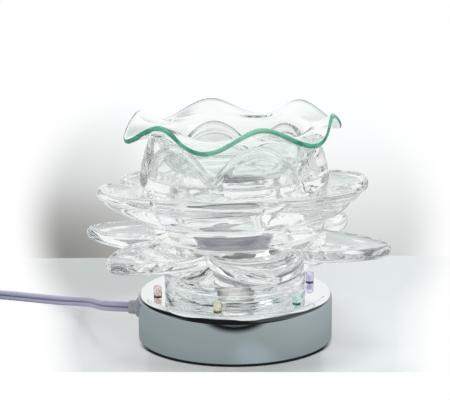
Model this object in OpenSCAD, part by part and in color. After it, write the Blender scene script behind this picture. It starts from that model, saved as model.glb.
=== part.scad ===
// Touch lamp with an oil dish. A pressed glass flower stands on a chromed drum, over a small
// halogen lamp that warms the dish on its petals. Six indicator lights ring the flower's foot.
// All sizes are in millimetres. The origin is on the flower's axis at table level, with +Z up.
// Azimuths are counted from the front, -Y, towards +X.

/* [Base drum] */
// Width of the drum's top outside the glass foot, where the lights stand
ledge_w = 16.5; // [14:0.5:20]
// Height of the drum's top face above the table
base_top_z = 30; // [29:0.5:36]
// Thickness of the drum's sheet steel
shell_t = 1.2; // [0.8:0.1:1.5]
// Radius of the rounded edge round the top face
edge_r = 4.5; // [3:0.5:6]
// Height of the drum's lower rim above the table
rim_lift = 1.4; // [1.2:0.1:1.8]
// Height of the raised bead that centres the glass
bead_h = 1.6; // [1:0.2:2.4]
// Width of the raised bead
bead_w = 3; // [2:0.5:4]

/* [Bottom cover] */
// Thickness of the bottom cover
cover_t = 3; // [2.6:0.1:3.4]
// Height of the rubber feet under the cover
foot_pad_h = 0.5; // [0.4:0.1:0.8]
// Diameter of the posts that the cover is screwed to
post_d = 7; // [6:0.5:8]
// Diameter of a rubber foot
foot_pad_d = 12; // [9:0.5:13]
// Diameter of a vent hole in the cover
vent_d = 4; // [3:0.5:5]

/* [Indicator lights] */
// Diameter of a light's lens
led_d = 5; // [4:0.1:5.5]
// How far the lens stands above the drum's top face
led_proud = 7.4; // [5:0.2:9]
// Azimuth of the first light
led_azimuth = -72; // [-76:1:-66]
// Thickness of the ring-shaped circuit board
board_t = 1.6; // [1:0.2:2]

/* [Lamp] */
// Diameter of the lamp's reflector
lamp_d = 50; // [48:0.5:51]
// Height of the reflector
reflector_h = 27; // [24:0.5:29]
// Height of the lamp's ceramic base
lamp_base_h = 10; // [8:0.5:12]
// Distance between the two pins
pin_pitch = 5.33; // [5:0.01:6.5]
// Diameter of a pin
pin_d = 1.5; // [1.4:0.05:1.8]
// Length of a pin
pin_l = 7; // [6:0.5:7.5]
// Diameter of the ceramic lamp holder
holder_d = 23; // [22:0.5:25]
// Height of the lamp holder
holder_h = 16; // [14:0.5:18]
// Height of the holder's top above the drum's top face
holder_proud = 11; // [9.5:0.5:12.5]

/* [Glass flower] */
// Outside diameter of the flower's foot
foot_d = 87; // [82:1:90]
// Height of the foot
foot_h = 13.5; // [11:0.5:16]
// Width of the foot's glass wall
foot_wall = 7.5; // [6.5:0.5:9]
// Bore of the petal tiers
flower_bore_d = 66; // [62:1:67]
// Diameter across the tips of the lower petals
lower_tip_d = 194; // [180:1:204]
// Diameter across the notches between the lower petals
lower_notch_d = 102; // [98:1:112]
// Height of the lower tier
lower_h = 22.5; // [20:0.5:26]
// Thickness of the lower petals' rim
lower_rim_t = 7.2; // [5:0.2:8]
// Diameter across the tips of the middle petals
middle_tip_d = 168; // [160:1:176]
// Diameter across the notches between the middle petals
middle_notch_d = 132; // [126:1:138]
// Height of the middle tier
middle_h = 30; // [28:0.5:34]
// Thickness of the middle petals' rim
middle_rim_t = 7.2; // [6:0.2:8]
// Largest diameter of the upper petals
cup_d = 116; // [113:1:120]
// Diameter across the tops of the upper petals
cup_top_d = 102; // [100:1:105]
// Height of the upper petals
cup_h = 32; // [30:0.5:36]
// Height of the notches between the upper petals
cup_notch_h = 13; // [11:0.5:16]
// Thickness of the upper petals' wall
cup_wall = 6; // [5:0.2:6.6]

/* [Oil dish] */
// Diameter of the dish's rim, at the middle of its waves
dish_d = 127; // [120:1:134]
// Thickness of the dish's glass
dish_t = 3; // [2.4:0.1:3.2]
// Height of the rim's waves, from crest to trough
wave_h = 11.6; // [8:0.2:13]
// How much further out the rim's troughs reach than its crests
wave_in = 5.8; // [4:0.2:7]
// Depth of the bowl below the petal tops
bowl_depth = 26.4; // [24:0.2:27]
// Height of the rim above the petal tops, at the middle of its waves
rim_rise = 4.85; // [4:0.05:6]

/* [Cord and plug] */
// Width of the flat twin cord
cord_w = 6.5; // [6:0.1:7]
// Thickness of the flat twin cord
cord_t = 3.3; // [3:0.1:3.6]
// Diameter of the strain relief's flange
gland_d = 12; // [11:0.5:14]
// Height of the cord's outlet above the table
gland_z = 16.5; // [15:0.5:17]
// Length of the plug's body
plug_l = 25; // [22:0.5:30]
// Width of the plug's body
plug_w = 22.4; // [20:0.2:22.4]
// Thickness of the plug's body
plug_t = 14.5; // [13:0.5:17]
// Length of a blade
blade_l = 17; // [15:0.5:18]
// Distance between the blades
blade_pitch = 12.7; // [12:0.1:13.5]

/* [Hidden] */

// Clearances and the overrun of every cut
cut = 1;
slip = 0.1;
running = 0.3;
seat_gap = 0.3;

// Drum
foot_bore_d = foot_d - 2 * foot_wall;
base_r = foot_d / 2 + ledge_w;
shell_in_r = base_r - shell_t;
shell_under_z = base_top_z - shell_t;
flat_r = base_r - edge_r;
bead_out_r = foot_bore_d / 2 - 2 * running;
bead_corner_share = 0.3;
lamp_hole_d = holder_d + 3;
led_hole_d = led_d + 2 * slip;

// Bottom cover with a lip under the drum's rim, its posts, screws, feet and vents
cover_z = foot_pad_h;
cover_top_z = cover_z + cover_t;
cover_r = shell_in_r - running;
lip_in = 0.4;
lip_r = base_r - lip_in;
post_count = 3;
post_azimuth = -42;
post_inset = 8.8;
post_ring_r = shell_in_r - post_inset;
post_shoulder = 1;
screw_d = 2.5;
screw_hole_d = 2.6;
screw_pass_d = 3.2;
screw_l = 10;
screw_head_d = 5.6;
screw_head_h = 1.7;
screw_pocket_d = screw_head_d + 2 * running;
screw_pocket_h = screw_head_h + slip;
foot_pad_count = 4;
foot_pad_azimuth = 3;
foot_pad_ring_r = post_ring_r - 3;
vent_count = 12;
vent_ring_r = 18;

// Indicator lights on their board
led_count = 6;
led_step = 360 / led_count;
led_ring_r = (foot_d / 2 + flat_r) / 2;
led_flange_d = led_d + 0.8;
led_flange_h = 1;
led_leg_d = 0.5;
led_leg_pitch = 2.54;
led_leg_hole_d = 0.9;
led_leg_below = 1.2;
board_drop = 7.4;
board_half_w = 6.5;
board_z = shell_under_z - board_drop;
board_in_r = led_ring_r - board_half_w;
board_out_r = led_ring_r + board_half_w;

// Lamp, holder and bracket
holder_top_z = base_top_z + holder_proud;
holder_z = holder_top_z - holder_h;
holder_chamfer = 1;
contact_hole_d = pin_d + 1.9;
contact_d = contact_hole_d - 2 * slip;
contact_bore_d = pin_d + 2 * running;
contact_l = 12;
contact_drop = 1.5;
holder_screw_y = 7.4;
holder_screw_l = 8;
bracket_t = 1.2;
bracket_w = 20;
bracket_seat_gap = 1;
bracket_seat_x = holder_d / 2 + bracket_seat_gap;
tongue_r = 3.2;
tongue_t = 0.8;
wing_x = bracket_seat_x + shell_under_z - holder_z;
bracket_screw_x = wing_x + bracket_t / 2 + tongue_r + slip;
bracket_end = 4.5;
bracket_half = bracket_screw_x + bracket_end;
bracket_wire_d = 9;
nut_d = 5.5;
nut_h = 2;
lamp_z = holder_top_z + seat_gap;
lamp_base_w = 16.4;
lamp_base_t = 10.6;
lamp_base_corner = 2;
pin_root = 4;
reflector_z = lamp_z + lamp_base_h;
reflector_t = 2;
reflector_neck_d = 17;
reflector_floor = 2.5;
lamp_rim_h = 3;
lamp_rim_shares = [0, 0.08, 0.2, 0.35, 0.52, 0.7, 0.86, 1];
front_glass_t = 2;
capsule_d = 9;
capsule_l = 15;
lamp_top_z = reflector_z + reflector_h;

// Module, terminal block and inner leads
module_l = 42;
module_w = 19;
module_h = 14;
module_corner = 2;
module_azimuth = 138;
module_inset = 21.8;
module_r = shell_in_r - module_inset;
block_l = 20;
block_w = 12;
block_h = 12;
block_azimuth = 18;
block_inset = 22.8;
block_r = shell_in_r - block_inset;
block_hole_d = 3.4;
block_hole_depth = 7;
lead_d = 1.8;
lead_sides = 8;
lead_steps = 10;
lead_pair = 3;

// Flower: the tiers' counts, turns and heights
petal_count = 6;
petal_half = 180 / petal_count;
petal_steps = 14;
around = petal_count * petal_steps;
lower_turn = 13;
middle_turn = -15;
cup_turn = 16;
foot_top_z = base_top_z + foot_h;
foot_corner_share = 0.21;
foot_groove_share = 0.16;
foot_corner = foot_wall * foot_corner_share;
foot_groove = foot_wall * foot_groove_share;
lower_top_z = foot_top_z + lower_h;
middle_top_z = lower_top_z + middle_h;
cup_top_z = middle_top_z + cup_h;

// Outline of a petal between its tip and the notch beside it
tip_round = 0.15;
lower_line_share = 0.86;
lower_power = 10;
middle_line_share = 0.3;
middle_power = 6;

// Section of the lower tier. Each pair is a share of the way outward and a share of the rise.
lower_under_shares = [[0, 0], [0.1, 0.27], [0.26, 0.55], [0.48, 0.79], [0.74, 0.94], [1, 1]];
lower_rim_w = 2.4;
lower_seat_r = foot_d / 2 + 2.5;
lower_rim_top_share = 0.94;
lower_top_shares = [[0.1, 0.55], [0.45, 1], [0.85, 0.4]];
lower_dip = 2.2;

// Section of the middle tier
middle_foot_d = 110;
middle_foot_shares = [[0.6, 0.1], [0.92, 0.5]];
middle_foot_rise = 5;
middle_under_shares = [[0, 0], [0.1, 0.27], [0.25, 0.4], [0.55, 0.55], [0.8, 0.76], [1, 1]];
middle_rim_w = 2;
cup_foot_in = 6;
middle_seat_r = cup_d / 2 - cup_foot_in;
middle_tip_lift = 2.4;
middle_notch_drop = 1;
middle_front_lean_share = 0.05;
middle_side_lean_share = 0.015;
middle_top_shares = [[0.12, 0.6], [0.5, 1], [0.85, 0.4]];
middle_dip = 2.6;

// Rim of the lower and middle tiers: shares of its width inward and of its thickness upward
rim_shares = [[0, 0.24], [0, 0.76], [0.75, 1]];

// Section of the upper tier: shares of its height, and of the way from the top's radius to the belly's
cup_belly_shares = [[0, 0.72], [0.04, 0.88], [0.12, 1], [0.22, 1],
    [0.42, 0.86], [0.65, 0.56], [0.85, 0.24], [1, 0]];
cup_rows = 6;
cup_notch_in = 4.2;
cup_groove_h = 5.5;
cup_top_thin_share = 0.7;
cup_crown = 1.5;
cup_bore_d = foot_bore_d;
cup_floor = 4.6;
cup_floor_shares = [[0.5, 0.2], [0.85, 0.75]];

// Dish, along the middle of its glass: radius as a share of the bowl's, depth below the petal tops as
// a share of the bowl's, and the share of the waves
dish_gap = 0.5;
bowl_r = cup_top_d / 2 - cup_wall * cup_top_thin_share - dish_gap;
bowl_shares = [[0.22, 1, 0], [0.48, 1, 0], [0.66, 0.945, 0], [0.79, 0.83, 0], [0.87, 0.67, 0],
    [0.915, 0.47, 0], [0.95, 0.27, 0.02], [0.985, 0.08, 0.06]];
// From the bowl's mouth to the rim: share of the way out, share of the rise, and the share of the waves
flare_shares = [[0.11, 0.36, 0.15], [0.38, 0.7, 0.42], [0.7, 0.88, 0.72], [1, 1, 1]];
dish_side_lean_share = 0.018;
dish_back_lean_share = 0.012;
dish_turn = 15;
dish_seat = 0.75;

// Cord: its way from inside the drum to the coil, in the order it runs, from the gland's place
gland_azimuth = -97.5;
cord_way = [[13.9, -1.8, 16.5], [2.5, -0.3, 16.5], [-7.5, 1, 16.5], [-14.5, 2.4, 16.4], [-20.5, 5.5, 15.9],
    [-25.3, 10.3, 15.1], [-28.8, 16.5, 14], [-31.8, 23.7, 12.6], [-34.8, 31.7, 10.8], [-38.3, 39.7, 8.8],
    [-42.7, 47.5, 6.8], [-48.5, 54.5, 5.1], [-55.9, 60, 3.9], [-65, 64.5, 3.4], [-75.5, 68.6, 3.3],
    [-87.5, 72.9, 3.3], [-99.5, 77, 3.3], [-109.5, 80.2, 3.4], [-119.5, 83, 3.7], [-129.5, 84.7, 4.1],
    [-139, 85.1, 4.4]];
cord_route = [for (p = cord_way) p + place(gland_azimuth, base_r, 0)];
// Section of the free cord and of the coiled cord, as shares of half its thickness and half its width
twin_shares = [[0, 1], [0.71, 0.85], [1, 0.5], [0.45, 0], [1, -0.5], [0.71, -0.85],
    [0, -1], [-0.71, -0.85], [-1, -0.5], [-0.45, 0], [-1, 0.5], [-0.71, 0.85]];
coil_shares = [[0, 1], [1, 0.5], [1, -0.5], [0, -1], [-1, -0.5], [-1, 0.5]];

// Coil: turns, smallest radius, step between turns and between layers
coil_turns = 6.25;
coil_azimuth = 90;
coil_rings = 24;
coil_in_r = 26.4;
coil_pitch = 4.5;
coil_rise = 7.1;
coil_out_r = coil_in_r + coil_pitch * coil_turns / 2;
coil_start = cord_route[len(cord_route) - 1] + [-cord_w, 0, 0];
coil_centre = coil_start - [0, coil_out_r, 0];
coil_end = coil_centre + [-coil_out_r, 0, coil_rise];

// Tie round the coil's turns
tie_azimuth = 150;
tie_t = 0.8;
tie_w = 7;
tie_gap = 0.6;

// Strain relief, from inside the drum to its nose
gland_flange_t = 2.2;
gland_nose_l = 4.8;
gland_nose_d = 9;
gland_tip_d = 8.2;
gland_neck_d = 9.6;
gland_tail_l = 12;
gland_tail_d = 8.6;
gland_hole_d = gland_neck_d + 2 * slip;
cord_slot_gap = 0.15;

// Plug: along its length, shares of its width and of its thickness
plug_tail_l = 22;
plug_rings_shares = [[0, 1], [0.1, 1], [0.55, 0.96], [0.8, 0.84], [1, 0.6]];
plug_tail_shares = [[0.25, 0.5], [0.6, 0.42], [1, 0.36]];
plug_sides = 24;
plug_square = 0.55;
plug_tail_sink = 1.2;
blade_w = 6.35;
blade_t = 1.5;
blade_hole_d = 3.2;
blade_hole_in = 11.5;

// Places a child at an azimuth, a radius and a height
module at(azimuth, radius, z = 0) {
    rotate([0, 0, azimuth - 90]) translate([radius, 0, z]) children();
}

// The same place as a point
function place(azimuth, radius, z) = [radius * sin(azimuth), -radius * cos(azimuth), z];

// Rounded rectangle, centred, with true arcs at its corners
module rounded(w, l, r) {
    square([w, l - 2 * r], center = true);
    square([w - 2 * r, l], center = true);
    for (sx = [-1, 1], sy = [-1, 1]) translate([sx * (w / 2 - r), sy * (l / 2 - r)]) circle(r = r, $fn = 32);
}

function mix(a, b, t) = a + (b - a) * t;
function clamp01(t) = min(1, max(0, t));
function unit(v) = v / norm(v);
function ease(t) = let (c = clamp01(t)) c * c * (3 - 2 * c);

// Closed skin over rings of points, each ring right-handed about the way from first ring to last
module skin(rings) {
    k = len(rings);
    n = len(rings[0]);
    middle = function(ring) [for (c = [0:2]) let (v = [for (p = ring) p[c]]) v * [for (p = ring) 1 / n]];
    polyhedron(
        points = concat([middle(rings[0])], [for (ring = rings, p = ring) p], [middle(rings[k - 1])]),
        faces = concat(
            [for (j = [0:n - 1]) [0, 1 + j, 1 + (j + 1) % n]],
            [for (i = [0:k - 2], j = [0:n - 1])
                let (a = 1 + i * n + j, b = 1 + i * n + (j + 1) % n)
                each [[a, b + n, b], [a, a + n, b + n]]],
            [for (j = [0:n - 1]) [1 + k * n, 1 + (k - 1) * n + (j + 1) % n, 1 + (k - 1) * n + j]]));
}

// Closed ring-shaped skin round the axis: section(i) gives the [radius, z] pairs at step i
module ring_skin(section) {
    sections = [for (i = [0:around - 1]) section(i)];
    m = len(sections[0]);
    polyhedron(
        points = [for (i = [0:around - 1], p = sections[i]) place(i * 360 / around, p[0], p[1])],
        faces = [for (i = [0:around - 1], j = [0:m - 1])
            let (i2 = (i + 1) % around, j2 = (j + 1) % m)
            each [[i * m + j, i2 * m + j2, i2 * m + j], [i * m + j, i * m + j2, i2 * m + j2]]]);
}

// Share of the way from a petal's middle, 0, to the notch beside it, 1, at step i of a tier
function petal_share(i) =
    let (a = (i % petal_steps) * 2 * petal_half / petal_steps)
    abs(a - petal_half * 2 * round(a / petal_half / 2)) / petal_half;
function hill(s) = sqrt(s * s + tip_round * tip_round) - tip_round;
function softened(s) = hill(s) / hill(1);
// Share of a petal's reach that is left there
function petal_reach(s, line_share, power) = 1 - line_share * softened(s) - (1 - line_share) * pow(s, power);

// Points along the shares of an underside, a rim and a top face
function along(shares, from, to) = [for (q = shares) [mix(from[0], to[0], q[0]), mix(from[1], to[1], q[1])]];
function rim_points(r, w, z, t) = [for (q = rim_shares) [r - w * q[0], z + t * q[1]]];
function top_points(shares, from, to, dip) =
    [for (q = shares) [mix(from[0], to[0], q[0]), mix(from[1], to[1], q[0]) - dip * q[1]]];

function lower_section(i) =
    let (g = petal_reach(petal_share(i), lower_line_share, lower_power),
        r = mix(lower_notch_d, lower_tip_d, g) / 2,
        rim_top = mix(foot_top_z, lower_top_z, lower_rim_top_share),
        rim_low = rim_top - lower_rim_t,
        rim = rim_points(r, lower_rim_w, rim_low, lower_rim_t))
    concat([[flower_bore_d / 2, foot_top_z]],
        along(lower_under_shares, [foot_d / 2, foot_top_z], [r - lower_rim_w, rim_low]),
        rim,
        top_points(lower_top_shares, rim[len(rim) - 1], [lower_seat_r, lower_top_z],
            lower_dip * (0.2 + 0.8 * g)),
        [[lower_seat_r, lower_top_z], [flower_bore_d / 2, lower_top_z]]);

function middle_section(i) =
    let (g = petal_reach(petal_share(i), middle_line_share, middle_power),
        r = mix(middle_notch_d, middle_tip_d, g) / 2,
        foot_r = middle_foot_d / 2,
        root_z = lower_top_z + middle_foot_rise,
        azimuth = i * 360 / around + middle_turn,
        lean = r * (middle_front_lean_share * cos(azimuth) + middle_side_lean_share * sin(azimuth)),
        rim_top = middle_top_z + mix(-middle_notch_drop, middle_tip_lift, g) + lean,
        rim_low = rim_top - middle_rim_t,
        rim = rim_points(r, middle_rim_w, rim_low, middle_rim_t))
    concat([[flower_bore_d / 2, lower_top_z], [lower_seat_r, lower_top_z]],
        along(middle_foot_shares, [lower_seat_r, lower_top_z], [foot_r, root_z]),
        along(middle_under_shares, [foot_r, root_z], [r - middle_rim_w, rim_low]),
        rim,
        top_points(middle_top_shares, rim[len(rim) - 1], [middle_seat_r, middle_top_z],
            middle_dip * (0.4 + 0.6 * g)),
        [[middle_seat_r, middle_top_z], [flower_bore_d / 2, middle_top_z]]);

// Outside radius of the upper petals at height h above their foot
function cup_out_r(h, s) =
    mix(cup_top_d, cup_d, lookup(h / cup_h, cup_belly_shares)) / 2
    - cup_notch_in * s * s * s * clamp01(h / cup_groove_h);
function cup_wall_at(h) = cup_wall * mix(1, cup_top_thin_share, clamp01(h / cup_h));

function cup_section(i) =
    let (s = petal_share(i),
        top_h = mix(cup_h, cup_notch_h, s * s),
        side_h = top_h - cup_crown,
        belly_h = cup_floor + cup_wall / 2,
        foot_r = cup_out_r(0, s),
        bore_r = cup_bore_d / 2)
    concat([[bore_r, middle_top_z], [middle_seat_r, middle_top_z]],
        [for (k = [0:cup_rows]) let (h = mix(cup_crown / 2, side_h, k / cup_rows))
            [cup_out_r(h, s), middle_top_z + h]],
        [[cup_out_r(top_h, s) - cup_wall_at(top_h) / 2, middle_top_z + top_h]],
        [for (k = [0:cup_rows - 2]) let (h = mix(side_h, belly_h, k / (cup_rows - 2)))
            [cup_out_r(h, s) - cup_wall_at(h), middle_top_z + h]],
        [for (q = [for (k = [len(cup_floor_shares) - 1:-1:0]) cup_floor_shares[k]])
            [mix(bore_r, cup_out_r(belly_h, s) - cup_wall, q[0]),
                middle_top_z + mix(cup_floor, belly_h, q[1])]],
        [[bore_r, middle_top_z + cup_floor]]);

// Middle line of the dish's glass at wave value c, from the centre outward: [radius, z]. The rim leans
// by the height given, and the lean fades towards the bowl.
dish_rest_z = cup_top_z + dish_seat;
function dish_line(c, lean) = concat(
    [for (q = bowl_shares)
        [bowl_r * q[0] - wave_in / 2 * c * q[2], dish_rest_z - bowl_depth * q[1] + wave_h / 2 * c * q[2]]],
    [for (q = flare_shares)
        [mix(bowl_r, dish_d / 2, q[0]) - wave_in / 2 * c * q[2],
            dish_rest_z + rim_rise * q[1] + wave_h / 2 * c * q[2] + lean * q[2] * q[2]]]);
// Square to that line at point k, pointing up and inward
function dish_normal(line, k) =
    let (a = line[max(0, k - 1)], b = line[min(len(line) - 1, k + 1)], d = unit(b - a)) [-d[1], d[0]];
function dish_wave(j) = cos(petal_count * (j * 360 / around - dish_turn));
function dish_lean(j) =
    let (a = j * 360 / around)
    dish_d / 2 * (dish_side_lean_share * sin(a) - dish_back_lean_share * cos(a));

module oil_dish() {
    lines = [for (j = [0:around - 1]) dish_line(dish_wave(j), dish_lean(j))];
    last = len(lines[0]) - 1;
    ring = function(k, side) [for (j = [0:around - 1])
        let (p = lines[j][k] + side * dish_t / 2 * dish_normal(lines[j], k))
        place(j * 360 / around, p[0], p[1])];
    edge = [for (j = [0:around - 1])
        let (n = dish_normal(lines[j], last), p = lines[j][last] + dish_t / 3 * [n[1], -n[0]])
        place(j * 360 / around, p[0], p[1])];
    color([0.62, 0.86, 0.76, 0.45])
        skin(concat([for (k = [0:last]) ring(k, -1)], [edge], [for (k = [last:-1:0]) ring(k, 1)]));
}

module upper_petals() {
    color([0.86, 0.93, 0.93, 0.4]) rotate([0, 0, cup_turn]) ring_skin(function(i) cup_section(i));
}

module middle_petals() {
    color([0.84, 0.91, 0.92, 0.4]) rotate([0, 0, middle_turn]) ring_skin(function(i) middle_section(i));
}

module lower_petals() {
    color([0.82, 0.9, 0.91, 0.4]) rotate([0, 0, lower_turn]) ring_skin(function(i) lower_section(i));
}

// Foot of two rounded rings, one on the other
module glass_foot_ring() {
    ring_h = foot_h / 2;
    color([0.84, 0.9, 0.9, 0.45]) rotate_extrude($fn = 180) difference() {
        translate([foot_bore_d / 2, base_top_z]) union() {
            for (k = [0, 1]) translate([0, k * ring_h]) {
                square([foot_wall - foot_corner, ring_h]);
                translate([0, foot_corner]) square([foot_wall, ring_h - 2 * foot_corner]);
                for (z = [foot_corner, ring_h - foot_corner])
                    translate([foot_wall - foot_corner, z]) circle(r = foot_corner, $fn = 48);
            }
        }
        translate([foot_d / 2, base_top_z + ring_h]) circle(r = foot_groove, $fn = 48);
    }
}

// Chromed drum: a pressed cup of sheet steel with a rounded edge and a raised bead
module base_shell() {
    color([0.74, 0.78, 0.8]) difference() {
        rotate_extrude($fn = 180) {
            difference() {
                union() {
                    translate([0, rim_lift]) square([base_r, base_top_z - edge_r - rim_lift]);
                    translate([0, base_top_z - edge_r]) square([flat_r, edge_r]);
                    intersection() {
                        translate([flat_r, base_top_z - edge_r]) circle(r = edge_r, $fn = 96);
                        translate([flat_r, base_top_z - edge_r]) square([edge_r, edge_r]);
                    }
                }
                translate([0, rim_lift - cut]) square([shell_in_r, base_top_z - edge_r - rim_lift + cut]);
                translate([0, base_top_z - edge_r - cut]) square([flat_r, edge_r - shell_t + cut]);
                intersection() {
                    translate([flat_r, base_top_z - edge_r]) circle(r = edge_r - shell_t, $fn = 96);
                    translate([flat_r, base_top_z - edge_r]) square([edge_r, edge_r]);
                }
            }
            polygon([[bead_out_r - bead_w, shell_under_z + shell_t / 2],
                [bead_out_r, shell_under_z + shell_t / 2],
                [bead_out_r, base_top_z + bead_h * (1 - bead_corner_share)],
                [bead_out_r - bead_w * bead_corner_share, base_top_z + bead_h],
                [bead_out_r - bead_w * (1 - bead_corner_share), base_top_z + bead_h],
                [bead_out_r - bead_w, base_top_z + bead_h * (1 - bead_corner_share)]]);
        }
        translate([0, 0, shell_under_z - cut]) cylinder(d = lamp_hole_d, h = shell_t + 2 * cut, $fn = 96);
        for (k = [0:led_count - 1]) at(led_azimuth + k * led_step, led_ring_r, shell_under_z - cut)
            cylinder(d = led_hole_d, h = shell_t + 2 * cut, $fn = 48);
        for (sx = [-1, 1]) translate([sx * bracket_screw_x, 0, shell_under_z - cut])
            cylinder(d = screw_pass_d, h = shell_t + 2 * cut, $fn = 32);
        at(gland_azimuth, base_r - shell_t - cut, gland_z) rotate([0, 90, 0])
            cylinder(d = gland_hole_d, h = shell_t + 2 * cut, $fn = 48);
    }
}

// Cover that fits inside the drum, with a lip under its rim and pockets for the screw heads
module base_cover() {
    color([0.1, 0.1, 0.11]) difference() {
        union() {
            translate([0, 0, cover_z]) cylinder(r = cover_r, h = cover_t, $fn = 180);
            translate([0, 0, cover_z]) cylinder(r = lip_r, h = rim_lift - slip - cover_z, $fn = 180);
        }
        for (k = [0:post_count - 1]) at(post_azimuth + k * 360 / post_count, post_ring_r, cover_z - cut) {
            cylinder(d = screw_pass_d, h = cover_t + 2 * cut, $fn = 32);
            cylinder(d = screw_pocket_d, h = screw_pocket_h + cut, $fn = 48);
        }
        for (k = [0:vent_count - 1]) at(k * 360 / vent_count, vent_ring_r, cover_z - cut)
            cylinder(d = vent_d, h = cover_t + 2 * cut, $fn = 32);
    }
}

// Posts welded under the top face, with a shoulder that carries the board
module cover_posts() {
    color([0.62, 0.63, 0.65]) for (k = [0:post_count - 1])
        at(post_azimuth + k * 360 / post_count, post_ring_r) difference() {
            union() {
                translate([0, 0, cover_top_z])
                    cylinder(d = post_d, h = shell_under_z - cover_top_z, $fn = 48);
                translate([0, 0, cover_top_z])
                    cylinder(d = post_d + 2 * post_shoulder, h = board_z - cover_top_z, $fn = 48);
            }
            translate([0, 0, cover_top_z - cut]) cylinder(d = screw_hole_d, h = screw_l + 2 * cut, $fn = 32);
        }
}

module screw(length) {
    cylinder(d = screw_d, h = length, $fn = 32);
    translate([0, 0, -screw_head_h]) cylinder(d = screw_head_d, h = screw_head_h, $fn = 48);
}

module cover_screws() {
    color([0.7, 0.7, 0.72]) for (k = [0:post_count - 1])
        at(post_azimuth + k * 360 / post_count, post_ring_r, cover_z + screw_pocket_h) screw(screw_l);
}

module rubber_feet() {
    color([0.08, 0.08, 0.08]) for (k = [0:foot_pad_count - 1])
        at(foot_pad_azimuth + k * 360 / foot_pad_count, foot_pad_ring_r)
            cylinder(d = foot_pad_d, h = cover_z, $fn = 64);
}

// Steel strap with two raised wings that are screwed under the top face
module lamp_bracket() {
    low = holder_z - bracket_t;
    color([0.66, 0.68, 0.7]) difference() {
        rotate([90, 0, 0]) translate([0, 0, -bracket_w / 2]) linear_extrude(bracket_w) polygon([
            [-bracket_half, shell_under_z], [-wing_x, shell_under_z], [-bracket_seat_x, holder_z],
            [bracket_seat_x, holder_z], [wing_x, shell_under_z], [bracket_half, shell_under_z],
            [bracket_half, shell_under_z - bracket_t], [wing_x + bracket_t / 2, shell_under_z - bracket_t],
            [bracket_seat_x + bracket_t / 2, low], [-bracket_seat_x - bracket_t / 2, low],
            [-wing_x - bracket_t / 2, shell_under_z - bracket_t],
            [-bracket_half, shell_under_z - bracket_t]]);
        translate([0, 0, low - cut]) cylinder(d = bracket_wire_d, h = bracket_t + 2 * cut, $fn = 48);
        for (sy = [-1, 1]) translate([0, sy * holder_screw_y, low - cut])
            cylinder(d = screw_pass_d, h = bracket_t + 2 * cut, $fn = 32);
        for (sx = [-1, 1]) translate([sx * bracket_screw_x, 0, shell_under_z - bracket_t - cut])
            cylinder(d = screw_pass_d, h = bracket_t + 2 * cut, $fn = 32);
    }
}

module bracket_screws() {
    color([0.75, 0.76, 0.78]) for (sx = [-1, 1]) translate([sx * bracket_screw_x, 0, base_top_z])
        mirror([0, 0, 1]) screw(shell_t + bracket_t + tongue_t + nut_h);
}

// The nut on the right also clamps the tongue of the touch lead
module bracket_nuts() {
    color([0.7, 0.7, 0.72]) for (sx = [-1, 1])
        translate([sx * bracket_screw_x, 0, shell_under_z - bracket_t - nut_h - (sx > 0 ? tongue_t : 0)])
            difference() {
                cylinder(d = nut_d, h = nut_h, $fn = 6);
                translate([0, 0, -cut]) cylinder(d = screw_hole_d, h = nut_h + 2 * cut, $fn = 32);
            }
}

// Ceramic holder with two contact holes and two blind screw holes
module lamp_holder() {
    color([0.93, 0.91, 0.86]) difference() {
        translate([0, 0, holder_z]) rotate_extrude($fn = 96) polygon([[0, 0], [holder_d / 2, 0],
            [holder_d / 2, holder_h - holder_chamfer], [holder_d / 2 - holder_chamfer, holder_h],
            [0, holder_h]]);
        for (sx = [-1, 1]) translate([sx * pin_pitch / 2, 0, holder_z - cut])
            cylinder(d = contact_hole_d, h = holder_h + 2 * cut, $fn = 48);
        for (sy = [-1, 1]) translate([0, sy * holder_screw_y, holder_z - cut])
            cylinder(d = screw_hole_d, h = holder_screw_l + cut, $fn = 32);
    }
}

module holder_contacts() {
    color([0.8, 0.66, 0.3]) for (sx = [-1, 1])
        translate([sx * pin_pitch / 2, 0, holder_top_z - contact_drop - contact_l]) difference() {
            cylinder(d = contact_d, h = contact_l, $fn = 48);
            translate([0, 0, contact_l - pin_l - cut])
                cylinder(d = contact_bore_d, h = pin_l + 2 * cut, $fn = 48);
        }
}

module holder_screws() {
    color([0.7, 0.7, 0.72]) for (sy = [-1, 1]) translate([0, sy * holder_screw_y, holder_z - bracket_t])
        screw(holder_screw_l);
}

module led_board() {
    color([0.1, 0.32, 0.2]) difference() {
        translate([0, 0, board_z]) cylinder(r = board_out_r, h = board_t, $fn = 180);
        translate([0, 0, board_z - cut]) cylinder(r = board_in_r, h = board_t + 2 * cut, $fn = 180);
        for (k = [0:post_count - 1]) at(post_azimuth + k * 360 / post_count, post_ring_r, board_z - cut)
            cylinder(d = post_d + 2 * running, h = board_t + 2 * cut, $fn = 48);
        for (k = [0:led_count - 1], sy = [-1, 1])
            at(led_azimuth + k * led_step, led_ring_r, board_z - cut)
                translate([0, sy * led_leg_pitch / 2, 0])
                    cylinder(d = led_leg_hole_d, h = board_t + 2 * cut, $fn = 24);
    }
}

// Lens of one light: a flange under the drum's top face, a barrel through it and a dome
module led(k, tint) {
    barrel = shell_t + led_proud - led_d / 2;
    color(tint) at(led_azimuth + k * led_step, led_ring_r, shell_under_z) {
        translate([0, 0, -led_flange_h]) cylinder(d = led_flange_d, h = led_flange_h, $fn = 48);
        cylinder(d = led_d, h = barrel, $fn = 48);
        translate([0, 0, barrel]) sphere(d = led_d, $fn = 48);
    }
}

module led_legs() {
    color([0.78, 0.79, 0.8]) for (k = [0:led_count - 1], sy = [-1, 1])
        at(led_azimuth + k * led_step, led_ring_r, board_z - led_leg_below)
            translate([0, sy * led_leg_pitch / 2, 0])
                cylinder(d = led_leg_d, h = shell_under_z - led_flange_h - board_z + led_leg_below, $fn = 24);
}

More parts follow.
